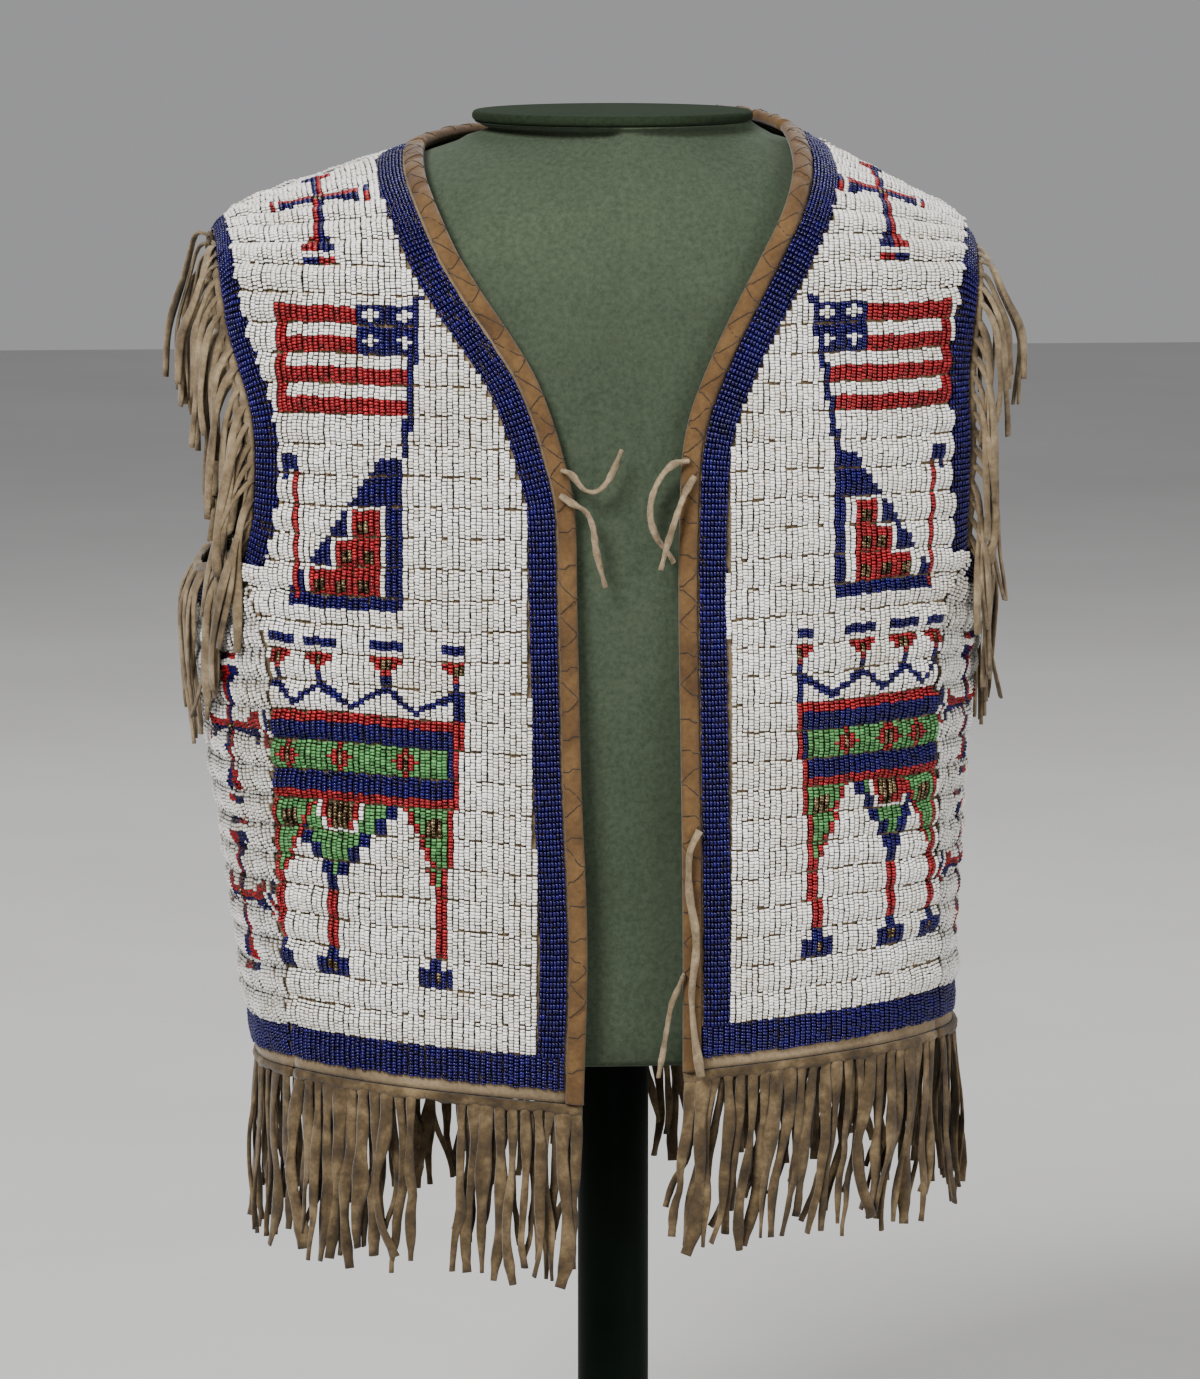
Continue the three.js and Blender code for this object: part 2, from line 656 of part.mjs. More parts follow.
// A strip along an edge, as sections of four points.
function bandTriangles(frames, from, to, out) {
  return loftTriangles(frames.map(({ p, normal, off }) => [
    plus(plus(p, off, from), normal, out.outer),
    plus(plus(p, off, to), normal, out.outer),
    plus(plus(p, off, to), normal, out.inner),
    plus(plus(p, off, from), normal, out.inner),
  ]));
}

// Keeps a point clear of the cloth by a distance.
function clearOf(p, clearance) {
  const on = settle(p);
  return plus(on, normalAt(on), Math.max(clearance, dot(minus(p, on), normalAt(on))));
}

function hemFringe(name, curve, strands, lean) {
  const bandPoints = spaced(curve, [0], Math.ceil(strands / 3), [0]);
  const frames = bandPoints.map((p) => ({
    p,
    normal: normalAt(p),
    off: [0, 0, -1],
  }));
  let whole = solidFrom(bandTriangles(frames, EDGE_GAP, EDGE_GAP + BAND_DEPTH, BAND_OUT));
  const roots = spaced(curve, [0], strands * 2, [0]).filter((_, i) => i % 2 === 1);
  roots.forEach((p, i) => {
    const normal = normalAt(p);
    const level = unit([normal[0], normal[1], 0]);
    const across = [-level[1], level[0], 0];
    const long = 66 + 5 * noise(i, 1) - 2;
    const swing = lean + 1.6 * Math.sin(i * 0.55) + 1.1 * (noise(i, 2) - 0.5);
    const forward = (i % 2 ? 1.5 : -0.4) + 1.2 * noise(i, 3);
    const start = plus(p, level, (BAND_OUT.outer + BAND_OUT.inner) / 2);
    const at = (drop, share, out) => [
      start[0] + across[0] * swing * share + level[0] * out,
      start[1] + across[1] * swing * share + level[1] * out,
      start[2] - drop,
    ];
    const path = [at(2.6, 0, 0), at(long * 0.45, 0.35, forward), at(long, 1, forward * 0.8)];
    const strand = solidFrom(strandTriangles(path, [3.1, 3.3, 2.4 + noise(i, 4) * 0.8], across));
    whole = whole.add(strand);
  });
  addPiece(name, geometryFrom(whole), FRINGE_HIDE);
}

const frontHem = (name) => (q) => {
  const side = SIDES[name];
  const from = OPENING[0][name] + side * 0.5;
  const to = SIDE_SEAM[0][name] - side * 0.6;
  return clothPoint(mix(from, to, q), 0, FACES.front);
};
const backHem = (q) => {
  const side = q < 0.5 ? SIDES.right : SIDES.left;
  const name = q < 0.5 ? "right" : "left";
  const z = HEM_Z;
  const from = wayAt(side, SIDE_SEAM[0][name] + side * 0.6, z, FACES.front);
  const share = q < 0.5 ? q * 2 : (1 - q) * 2;
  const flat = roundPoint(SECTIONS, side, mix(from, 2, share), z);
  const lift = straight(BACK_HEM, flat[0]);
  return [flat[0], flat[1], z + lift];
};
hemFringe("hem_fringe_right_front", frontHem("right"), 24, -1.5);
hemFringe("hem_fringe_left_front", frontHem("left"), 23, -7);
hemFringe("hem_fringe_back", backHem, 60, 0);

// Fringe round an armhole: down its front edge, along its floor and up its back edge.
const ARM_STRIP = 3;
const ARM_GAP = 1.15;
function armholeFringe(name, strands) {
  const side = SIDES[name];
  const frontEdge = [];
  for (let n = 29; n > ARM_LANE; n -= 1) frontEdge.push(frontRow(name, boundary(n)).at(-1));
  const half = (n) => halfRow(name, n, boundary(n));
  const floor = half(ARM_LANE).slice(0, SIDE_CELLS + 1);
  const backEdge = [];
  for (let n = ARM_LANE + 1; n < 29; n += 1) backEdge.push(half(n)[0]);
  const framed = (p, off) => ({ p, normal: normalAt(p), off });
  const roundFrom = (p) => {
    const normal = normalAt(p);
    return unit([-normal[1] * side, normal[0] * side, 0]);
  };
  const corner = (p, sign) => framed(p, plus([0, 0, 1], roundFrom(p), sign));
  const frames = [
    ...frontEdge.map((p) => framed(p, roundFrom(p))),
    corner(floor[0], 1),
    ...floor.slice(1, -1).map((p) => framed(p, [0, 0, 1])),
    corner(floor.at(-1), -1),
    ...backEdge.map((p) => framed(p, plus([0, 0, 0], roundFrom(p), -1))),
  ];
  const out = { outer: -0.3, inner: -2.6 };
  let whole = solidFrom(bandTriangles(frames, ARM_GAP, ARM_GAP + ARM_STRIP, out));
  const walk = (q) => {
    const at = q * (frames.length - 1);
    const i = Math.min(frames.length - 2, Math.floor(at));
    const t = at - i;
    const a = frames[i];
    const b = frames[i + 1];
    return plus(between(a.p, b.p, t), unit(between(a.off, b.off, t)), ARM_GAP + ARM_STRIP / 2);
  };
  const roots = spaced(walk, [0], strands * 2, [0]).filter((_, i) => i % 2 === 1);
  roots.forEach((p, i) => {
    const share = i / (strands - 1);
    const normal = normalAt(p);
    const round = unit([-normal[1] * side, normal[0] * side, 0]);
    const onFront = share < 0.5;
    const onFloor = share > 0.42 && share < 0.72;
    const calm = p[2] > 466 ? 0.4 : 1; // the strands at the shoulder keep near the edge
    const fan = onFloor ? 2.5 * (noise(i, 5) - 0.5) : calm * (5 + 4.2 * (i % 5) + 2 * noise(i, 5));
    const sideways = onFront || onFloor ? fan : -fan * 0.7;
    const layer = 3.9 + 1.8 * (i % 3);
    const long = 44 + 16 * noise(i, 6) + (onFloor ? 8 : 0);
    const root = plus(p, normal, (out.outer + out.inner) / 2);
    const over = clearOf(plus(plus(p, round, sideways * 0.2), [0, 0, 1], onFloor ? 0.6 : -1), layer);
    const tip = clearOf(plus(plus(p, round, sideways), [0, 0, 1], -long), layer);
    whole = whole.add(solidFrom(strandTriangles([root, over, tip], [2.8, 3.2, 2.6], round)));
  });
  addPiece(`armhole_fringe_${name}`, geometryFrom(whole), FRINGE_HIDE);
}
armholeFringe("right", 27);
armholeFringe("left", 27);

// ---- hide thongs at the opening: points over the cloth, with their distance out of it
const TIES = {
  tie_right_upper: { radius: 1.3, steps: 14, rows: [
    { x: -27.5, z: 439.4, out: 3.4 },
    { x: -24, z: 438.2, out: 3.6 },
    { x: -19.3, z: 432.6, out: 3.4 },
    { x: -16, z: 431.1, out: 2.6 },
    { x: -12.7, z: 432.2, out: 2.2 },
    { x: -9.4, z: 436.2, out: 2.4 },
    { x: -4.9, z: 446.8, out: 3 },
  ] },
  tie_right_lower: { radius: 1.4, steps: 14, rows: [
    { x: -27.8, z: 430.2, out: 3.4 },
    { x: -23, z: 427, out: 3.6 },
    { x: -18.2, z: 424.1, out: 3.4 },
    { x: -15.6, z: 418.5, out: 2.6 },
    { x: -14.4, z: 410, out: 2.4 },
    { x: -12.5, z: 402, out: 2.2 },
    { x: -10.8, z: 395.9, out: 2.2 },
  ] },
  tie_left_upper: { radius: 1.4, steps: 14, rows: [
    { x: 20, z: 442.5, out: 3.5 },
    { x: 14.5, z: 441.5, out: 3.3 },
    { x: 9.6, z: 436.5, out: 2.4 },
    { x: 6.2, z: 428.5, out: 2 },
    { x: 5.8, z: 421, out: 2 },
    { x: 8.7, z: 413.1, out: 1.4 },
    { x: 12.8, z: 407.9, out: 0.6 },
    { x: 14.6, z: 404.6, out: 0.2 },
  ] },
  tie_left_second: { radius: 1.4, steps: 10, rows: [
    { x: 22, z: 436.8, out: 3.6 },
    { x: 19, z: 432, out: 4.2 },
    { x: 16, z: 425, out: 5.2 },
    { x: 12.5, z: 414.6, out: 6 },
    { x: 9.2, z: 402.5, out: 5.4 },
  ] },
  tie_left_long: { radius: 1.7, steps: 22, rows: [
    { x: 24.1, z: 305.1, out: 3.8 },
    { x: 20.6, z: 298, out: 4.2 },
    { x: 20.1, z: 290.5, out: 3.8 },
    { x: 20.6, z: 280, out: 3.8 },
    { x: 22.9, z: 267, out: 3.8 },
    { x: 23, z: 258, out: 3.8 },
    { x: 21.6, z: 245, out: 3.8 },
    { x: 22.5, z: 230, out: 3.8 },
    { x: 25.3, z: 211.9, out: 4.2 },
  ] },
  tie_left_short: { radius: 1.2, steps: 10, rows: [
    { x: 18.7, z: 251, out: 2.5 },
    { x: 16.6, z: 245, out: 1.9 },
    { x: 14.4, z: 240, out: 2.2 },
    { x: 12.9, z: 232, out: 2 },
    { x: 11.4, z: 222, out: 1.6 },
    { x: 9.6, z: 211.3, out: 1 },
  ] },
};
Object.entries(TIES).forEach(([name, tie]) => {
  const points = tie.rows.map(({ x, z, out }) => {
    return new THREE.Vector3(x, sectionY(SECTIONS, x, z, FACES.front) - out, z);
  });
  const round = new THREE.Shape();
  round.absarc(0, 0, tie.radius, 0, Math.PI * 2, false);
  const tube = new THREE.ExtrudeGeometry(round, {
    extrudePath: new THREE.CatmullRomCurve3(points, false, "centripetal"),
    steps: tie.steps,
    curveSegments: 4,
    bevelEnabled: false,
  });
  addPiece(name, tube, TIE_HIDE);
});

// ---- the dress form
const FORM_POWER = 2.5;
const FORM_SHOULDER = 2.05;
const FORM_TURNS = 28;
const formReach = (side, z) => look(FORM_SECTIONS, "z", z, side < 0 ? "right" : "left");
const formDepth = (face, z) => look(FORM_SECTIONS, "z", z, face < 0 ? "front" : "back");
const UNDER_CLOTH = 4.3;
const formRidge = (x) => {
  const out = Math.abs(x);
  if (out >= 70) return ridge(x) - UNDER_CLOTH;
  const flare = (70 - out) * 0.3 + Math.min(Math.max(0, 58 - out) * 0.6, 1.2);
  return ridge(70 * Math.sign(x || 1)) - UNDER_CLOTH + flare;
};
function formY(x, z, face) {
  const chest = Math.min(z, CHEST_Z);
  const part = Math.min(1, Math.abs(x) / formReach(x, chest));
  const flat = formDepth(face, chest) * (1 - part ** FORM_POWER) ** (1 / FORM_POWER);
  if (z <= CHEST_Z) return face * flat;
  const middle = RIDGE_Y * (1 - part ** 4);
  const upward = Math.min(1, (z - CHEST_Z) / (formRidge(x) - CHEST_Z));
  const inward = (1 - upward ** FORM_SHOULDER) ** (1 / FORM_SHOULDER);
  return middle + (face * flat - middle) * inward;
}
function formWidth(side, z) {
  if (z <= CHEST_Z) return formReach(side, z);
  let far = formReach(side, CHEST_Z);
  if (formRidge(side * far) >= z) return far;
  let near = 0;
  for (let i = 0; i < 30; i += 1) {
    const x = (far + near) / 2;
    if (formRidge(side * x) < z) far = x;
    else near = x;
  }
  return near;
}
function formRing(z) {
  const ring = [];
  for (let i = 0; i < FORM_TURNS; i += 1) {
    const angle = (i / FORM_TURNS) * Math.PI * 2;
    const side = Math.sin(angle) < 0 ? SIDES.right : SIDES.left;
    const face = Math.cos(angle) > 0 ? FACES.front : FACES.back;
    const x = side * formWidth(side, z) * Math.abs(Math.sin(angle)) ** (2 / FORM_POWER);
    ring.push([x, formY(x, z, face), z]);
  }
  return ring;
}
const neckRing = Array.from({ length: FORM_TURNS }, (_, i) => {
  const angle = (i / FORM_TURNS) * Math.PI * 2;
  return [Math.sin(angle) * (PLATE_RADIUS - 1), 3 - Math.cos(angle) * (PLATE_RADIUS - 1), FORM_TOP];
});
const FORM_LEVELS = [213, 218, 260, 310, 360, 410, 450, 485, 500, 512, 522, 531, 539, 546, 552, 557, 560];
const formSections = FORM_LEVELS.map(formRing);
const tucked = formSections[0].map(([x, y, z]) => [x * 0.96, y * 0.95, z]);
addPiece("dress_form", geometryOf(loftTriangles([tucked, ...formSections.slice(1), neckRing])), SUEDE);

function turned(name, profile, segments, material, y) {
  const lathe = new THREE.LatheGeometry(profile.map(([r, z]) => new THREE.Vector2(r, z)), segments);
  lathe.rotateX(Math.PI / 2);
  lathe.translate(0, y, 0);
  lathe.deleteAttribute("normal");
  lathe.deleteAttribute("uv");
  addPiece(name, mergeVertices(lathe, 1e-4), material);
}
const plateFloor = FORM_TOP + SEAM;
turned("neck_plate", [
  [0, plateFloor],
  [PLATE_RADIUS - 1.2, plateFloor],
  [PLATE_RADIUS, plateFloor + 1.2],
  [PLATE_RADIUS, PLATE_TOP - 1.6],
  [PLATE_RADIUS - 1.6, PLATE_TOP],
  [0, PLATE_TOP],
], 32, SUEDE, 3);
turned("post", [
  [0, BASE_HEIGHT + SEAM],
  [POST_RADIUS, BASE_HEIGHT + SEAM],
  [POST_RADIUS, FORM_FLOOR - SEAM],
  [0, FORM_FLOOR - SEAM],
], 28, DARK_PAINT, 0);
turned("base", [
  [0, 0],
  [BASE_RADIUS, 0],
  [BASE_RADIUS, BASE_HEIGHT - 4],
  [BASE_RADIUS - 4, BASE_HEIGHT],
  [0, BASE_HEIGHT],
], 40, DARK_PAINT, 0);

export default group;
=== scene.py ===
# %% [markdown]
# A child's hide vest, covered in glass beads, on a limbless dress form with a post and a round base.
# This lesson dresses a finished CAD model: it keeps the model's places and sizes, and gives each piece
# its beads, its hide and its paint.

# %% Load the frame
import math

import bpy
import numpy as np
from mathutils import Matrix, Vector


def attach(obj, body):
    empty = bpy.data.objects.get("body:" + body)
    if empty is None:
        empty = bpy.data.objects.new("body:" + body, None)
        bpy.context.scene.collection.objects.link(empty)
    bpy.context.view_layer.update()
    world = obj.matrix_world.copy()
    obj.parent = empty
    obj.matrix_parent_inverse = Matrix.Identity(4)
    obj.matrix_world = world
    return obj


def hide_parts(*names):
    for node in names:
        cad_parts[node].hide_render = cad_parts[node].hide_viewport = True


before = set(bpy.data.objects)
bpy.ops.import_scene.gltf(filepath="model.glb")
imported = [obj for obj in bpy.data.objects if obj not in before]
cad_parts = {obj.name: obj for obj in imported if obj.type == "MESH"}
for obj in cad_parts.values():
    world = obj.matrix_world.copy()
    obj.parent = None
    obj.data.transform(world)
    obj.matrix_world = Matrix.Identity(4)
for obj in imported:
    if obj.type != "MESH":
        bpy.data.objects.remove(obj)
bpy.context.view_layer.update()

MM = 0.001
RIGHT, LEFT = -1, 1
FRONT, BACK = -1, 1
SIDE_NAMES = {RIGHT: "right", LEFT: "left"}

# %% [markdown]
# The camera comes first, because every later choice is judged through it. It stands 3 m away with a long
# lens, a little to one side and a little above the vest, so the sides stay nearly parallel.

# %% Camera
AIM = Vector((-5.0, 0.0, 347.0)) * MM
DISTANCE = 3.03
AZIMUTH = math.radians(-5.0)
ELEVATION = math.radians(7.0)
LENS = 208.17
away = Vector((
    math.sin(AZIMUTH) * math.cos(ELEVATION),
    -math.cos(AZIMUTH) * math.cos(ELEVATION),
    math.sin(ELEVATION),
))
camera_data = bpy.data.cameras.new("studio_camera")
camera_data.lens = LENS
camera_data.sensor_width = 36.0
camera_data.clip_start = 0.05
camera_data.clip_end = 30.0
camera = bpy.data.objects.new("studio_camera", camera_data)
bpy.context.scene.collection.objects.link(camera)
camera.location = AIM + away * DISTANCE
camera.rotation_mode = "QUATERNION"
camera.rotation_quaternion = (-away).to_track_quat("-Z", "Y")
bpy.context.scene.camera = camera
print("camera at", [round(v, 4) for v in camera.location])

# %% [markdown]
# The cloth's sizes are repeated from the CAD model, in millimetres. Each table gives one measure against
# another, and look() draws a smooth curve through a table, so one function can place every bead.

# %% Tables of the cloth
HEM_Z = 204.0
CHEST_Z = 492.5
CHEST_UP = CHEST_Z - HEM_Z
RIDGE_Y = 5.0
SECTION_POWER = 2.6
SHOULDER_POWER = 2.2
SECTIONS = {
    "z": (204, 255, 305, 345, 380, 430, 492.5),
    "right": (137, 142, 149, 155, 158, 160, 163),
    "left": (131, 129, 131, 134, 138, 146, 152),
    "front": (80, 84, 87, 88, 88, 88, 86),
    "back": (78, 82, 85, 87, 88, 88, 88),
}
HEM_LIFT = {
    FRONT: ((-125, -18, 19, 119), (7, -3, 9, 18)),
    BACK: ((-125, 119), (7, 18)),
}


def look(table, by, at, column):
    """The value of one column where another has the value given, on a smooth curve through the rows."""
    known = np.array(table[by], float)
    value = np.array(table[column], float)
    last = len(known) - 1
    ahead = np.minimum(np.arange(last + 1) + 1, last)
    behind = np.maximum(np.arange(last + 1) - 1, 0)
    slope = (value[ahead] - value[behind]) / (known[ahead] - known[behind])
    at = np.clip(np.asarray(at, float), known[0], known[-1])
    i = np.clip(np.searchsorted(known, at, side="right") - 1, 0, last - 1)
    span = known[i + 1] - known[i]
    t = (at - known[i]) / span
    return (
        value[i] * (1 + 2 * t) * (1 - t) ** 2
        + slope[i] * span * t * (1 - t) ** 2
        + value[i + 1] * t * t * (3 - 2 * t)
        - slope[i + 1] * span * t * t * (1 - t)
    )


def section_reach(x, z):
    """How far the level section at z reaches on the side of x."""
    right = look(SECTIONS, "z", z, "right")
    left = look(SECTIONS, "z", z, "left")
    return np.where(np.asarray(x) < 0, right, left)


def section_depth(face, z):
    """How deep the level section at z is towards the front or the back."""
    return look(SECTIONS, "z", z, "front" if face == FRONT else "back")


def section_y(x, z, face):
    """Depth of the cloth's surface at x and z."""
    part = np.minimum(1, np.abs(x) / section_reach(x, z))
    return face * section_depth(face, z) * (1 - part ** SECTION_POWER) ** (1 / SECTION_POWER)


# %% [markdown]
# Six thongs of hide hang at the opening.

# %% Paths of the six ties
TIE_ROWS = {
    "tie_right_upper": (1.3, (
        (-27.5, 439.4, 3.4), (-24, 438.2, 3.6), (-19.3, 432.6, 3.4), (-16, 431.1, 2.6),
        (-12.7, 432.2, 2.2), (-9.4, 436.2, 2.4), (-4.9, 446.8, 3))),
    "tie_right_lower": (1.4, (
        (-27.8, 430.2, 3.4), (-23, 427, 3.6), (-18.2, 424.1, 3.4), (-15.6, 418.5, 2.6),
        (-14.4, 410, 2.4), (-12.5, 402, 2.2), (-10.8, 395.9, 2.2))),
    "tie_left_upper": (1.4, (
        (20, 442.5, 3.5), (14.5, 441.5, 3.3), (9.6, 436.5, 2.4), (6.2, 428.5, 2),
        (5.8, 421, 2), (8.7, 413.1, 1.4), (12.8, 407.9, 0.6), (14.6, 404.6, 0.2))),
    "tie_left_second": (1.4, (
        (22, 436.8, 3.6), (19, 432, 4.2), (16, 425, 5.2), (12.5, 414.6, 6), (9.2, 402.5, 5.4))),
    "tie_left_long": (1.7, (
        (24.1, 305.1, 3.8), (20.6, 298, 4.2), (20.1, 290.5, 3.8), (20.6, 280, 3.8), (22.9, 267, 3.8),
        (23, 258, 3.8), (21.6, 245, 3.8), (22.5, 230, 3.8), (25.3, 211.9, 4.2))),
    "tie_left_short": (1.2, (
        (18.7, 251, 2.5), (16.6, 245, 1.9), (14.4, 240, 2.2), (12.9, 232, 2), (11.4, 222, 1.6),
        (9.6, 211.3, 1))),
}


def through(points, count):
    """Points evenly spaced on a centripetal curve through a few knots."""
    knots = np.array(points, float)
    knots = np.vstack([2 * knots[0] - knots[1], knots, 2 * knots[-1] - knots[-2]])
    fine = []
    for i in range(1, len(knots) - 2):
        a, b, c, d = knots[i - 1:i + 3]
        t0 = 0.0
        t1 = t0 + np.linalg.norm(b - a) ** 0.5
        t2 = t1 + np.linalg.norm(c - b) ** 0.5
        t3 = t2 + np.linalg.norm(d - c) ** 0.5
        for t in np.linspace(t1, t2, 30, endpoint=False):
            ab = a * (t1 - t) / (t1 - t0) + b * (t - t0) / (t1 - t0)
            bc = b * (t2 - t) / (t2 - t1) + c * (t - t1) / (t2 - t1)
            cd = c * (t3 - t) / (t3 - t2) + d * (t - t2) / (t3 - t2)
            abc = ab * (t2 - t) / (t2 - t0) + bc * (t - t0) / (t2 - t0)
            bcd = bc * (t3 - t) / (t3 - t1) + cd * (t - t1) / (t3 - t1)
            fine.append(abc * (t2 - t) / (t2 - t1) + bcd * (t - t1) / (t2 - t1))
    fine.append(knots[-2])
    fine = np.array(fine)
    walked = np.concatenate([[0], np.cumsum(np.linalg.norm(np.diff(fine, axis=0), axis=1))])
    even = np.linspace(0, walked[-1], count)
    return np.column_stack([np.interp(even, walked, fine[:, k]) for k in range(3)]), walked[-1]


tie_paths = {}
for name, (radius, rows) in TIE_ROWS.items():
    knots = [(x, float(section_y(x, z, FRONT)) - out, z) for x, z, out in rows]
    path, length = through(knots, 24)
    tie_paths[name] = (path * MM, length * MM)
    print(name, "is", round(length, 1), "mm long")

# %% [markdown]
# A piece made from points and faces is needed again and again, so one helper makes it, smooth, at the origin.
# A thong is a closed tube along its path, a little flat, as a strip of hide is, and thinner at its root.

# %% Helpers for pieces and tubes
def unit(v):
    """Vectors made one long."""
    return v / np.maximum(np.linalg.norm(v, axis=-1, keepdims=True), 1e-9)


def mesh_piece(name, verts, faces):
    """A smooth mesh object from points in millimetres."""
    mesh = bpy.data.meshes.new(name)
    mesh.from_pydata((np.asarray(verts, float) * MM).tolist(), [], faces)
    mesh.validate()
    mesh.shade_smooth()
    piece = bpy.data.objects.new(name, mesh)
    bpy.context.scene.collection.objects.link(piece)
    return piece


def loft(sections):
    """Points and faces of a closed solid through rings of equal length."""
    sections = np.asarray(sections, float)
    rings, around = sections.shape[:2]
    faces = []
    for k in range(rings - 1):
        for j in range(around):
            n = (j + 1) % around
            faces.append((k * around + j, k * around + n, (k + 1) * around + n, (k + 1) * around + j))
    faces.append(tuple(range(around - 1, -1, -1)))
    faces.append(tuple((rings - 1) * around + j for j in range(around)))
    verts = sections.reshape(-1, 3)
    corner = verts[[f[0] for f in faces]]
    volume = 0.0
    for f, a in zip(faces, corner):
        for j in range(1, len(f) - 1):
            volume += float(np.dot(a, np.cross(verts[f[j]], verts[f[j + 1]])))
    if volume < 0:
        faces = [f[::-1] for f in faces]
    return verts, faces


def join_lofts(parts):
    """Several closed solids as one list of points and one of faces."""
    verts, faces, base = [], [], 0
    for part_verts, part_faces in parts:
        verts.append(part_verts)
        faces += [tuple(base + i for i in f) for f in part_faces]
        base += len(part_verts)
    return np.vstack(verts), faces


def ribbon(path, widths, thick, across, around=6):
    """A strand along a path: widths across, and as thick as hide."""
    path = np.asarray(path, float)
    ahead = unit(np.gradient(path, axis=0))
    across = np.broadcast_to(np.asarray(across, float), path.shape)
    deep = unit(np.cross(across, ahead))
    wide = unit(np.cross(ahead, deep))
    turn = np.arange(around) / around * 2 * math.pi
    rings = []
    for k in range(len(path)):
        w = widths[k] / 2
        t = thick[k] / 2 if np.ndim(thick) else thick / 2
        rings.append([path[k] + wide[k] * w * math.cos(a) + deep[k] * t * math.sin(a) for a in turn])
    return loft(rings)


def noise(i, k):
    """A fixed number from 0 to 1 for a strand and a use."""
    wave = np.sin(np.asarray(i) * 12.9898 + k * 78.233) * 43758.5453
    return wave - np.floor(wave)


# %% The six thongs
tie_pieces = []
for name, (radius, rows) in TIE_ROWS.items():
    path, length = tie_paths[name]
    points = path / MM
    steps = np.linspace(0, 1, 90)
    place = np.linspace(0, 1, len(points))
    fine = np.column_stack([np.interp(steps, place, points[:, k]) for k in range(3)])
    swell = 0.92 + 0.10 * np.sin(steps * 19 + radius * 9) + 0.06 * np.sin(steps * 47 + radius * 5)
    swell *= np.where(steps < 0.03, 0.9, 1)
    if name == "tie_right_lower":
        swell += 0.1 * np.exp(-((steps - 0.55) / 0.03) ** 2)
    turn = 1.1 * np.sin(steps * 6 + radius * 4)
    broad = np.column_stack([np.cos(turn), -np.sin(turn), 0 * turn])
    verts, faces = ribbon(fine, 2.1 * radius * swell, 1.35 * radius * swell, broad, around=12)
    piece = mesh_piece(name + "_thong", verts, faces)
    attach(piece, "root")
    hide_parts(name)
    tie_pieces.append(piece)
print(len(tie_pieces), "thongs")

# %% [markdown]
# The cloth's surface is one formula. Up to the chest it is a stack of rounded level sections. Above that it
# folds over to the shoulder seam. Every panel, bead and strand is placed by its distance up the cloth.

# %% The cloth's surface
SEAM = 0.3
BINDING = 6.8
EDGE_GAP = 0.55
FRONT_BORDER = 10.8
ARM_BORDER = 11.0
ARM_DIP = 8.0
ARM_FLOOR_UP = 194.92
CAD_LANE = 11.12
NECK_CLEARANCE = 1.1
NECK_BOTTOM_UP = 350.64
EDGE_BELOW_SEAM = 0.8
BEADS_BELOW_SEAM = 0.9
HIDE_BELOW_SEAM = 0.3
OPENING = {
    "up": (0, 60, 120, 185, 222, 240, 255, 270, 285, 300, 315, 330, 345, 360, 380, 410),
    "right": (-18, -17, -19.5, -21, -22, -26, -30.5, -36.5, -45.5, -55.5, -64, -69.3, -72.5, -74, -73.5, -71),
    "left": (19, 18.5, 17.5, 16.5, 17, 18, 21, 26.5, 33, 40.5, 48.5, 56, 61, 63.5, 64, 63.5),
}
ARMHOLE = {
    "up": (192.5, 205, 215, 240, 255, 270, 285, 300, 315, 330, 360),
    "right": (-143.6, -140.5, -139, -138.3, -140, -144, -148, -150, -151, -151, -151),
    "left": (129, 128.7, 129, 129.2, 128.5, 128.5, 130, 132, 133.5, 135, 137),
}
SIDE_SEAM = {
    "up": (0, 30, 60, 90, 145, 165, 180, 192.5),
    "right": (-125, -126, -129, -130.5, -132.5, -134, -138, -143.6),
    "left": (119.5, 119, 117.5, 117, 116, 117.5, 121, 129),
}
BACK_NECK = {
    "up": (350, 361.25, 372.5, 383.75, 394, 400),
    "right": (-6, -36, -54, -67, -76.5, -79),
    "left": (6, 33, 49, 60, 67, 70),
}
FACE_NAMES = {FRONT: "front", BACK: "back"}


def height_at(x, up, face):
    """Height of a point up the cloth, under the chest level."""
    lift = np.interp(x, *HEM_LIFT[face])
    return HEM_Z + up + lift * np.maximum(0, 1 - np.asarray(up) / CHEST_UP)


def ridge(x):
    """Height of the shoulder seam over x."""
    x = np.asarray(x, float)
    out = np.abs(x)
    bend = np.maximum(0, out - np.where(x < 0, 137, 122))
    return np.where(x < 0, 556, 559) - (out - 70) * np.where(x < 0, 0.36, 0.54) - 0.02 * bend * bend


def shoulder_arc(x, face, steps=40):
    """Depths, heights and walked lengths of the shoulder's fold over each x."""
    x = np.atleast_1d(np.asarray(x, float))[:, None]
    angle = np.linspace(0, math.pi / 2, steps + 1)[None, :]
    chest = section_y(x, CHEST_Z, face)
    inward = np.maximum(0, np.cos(angle)) ** (2 / SHOULDER_POWER)
    upward = np.sin(angle) ** (2 / SHOULDER_POWER)
    y = RIDGE_Y + (chest - RIDGE_Y) * inward
    z = CHEST_Z + (ridge(x) - CHEST_Z) * upward
    step = np.hypot(np.diff(y, axis=1), np.diff(z, axis=1))
    walked = np.concatenate([np.zeros((len(x), 1)), np.cumsum(step, axis=1)], axis=1)
    return y, z, walked


def ridge_up(x, face):
    """Distance up the cloth to the shoulder seam over x."""
    return CHEST_UP + shoulder_arc(x, face)[2][:, -1]


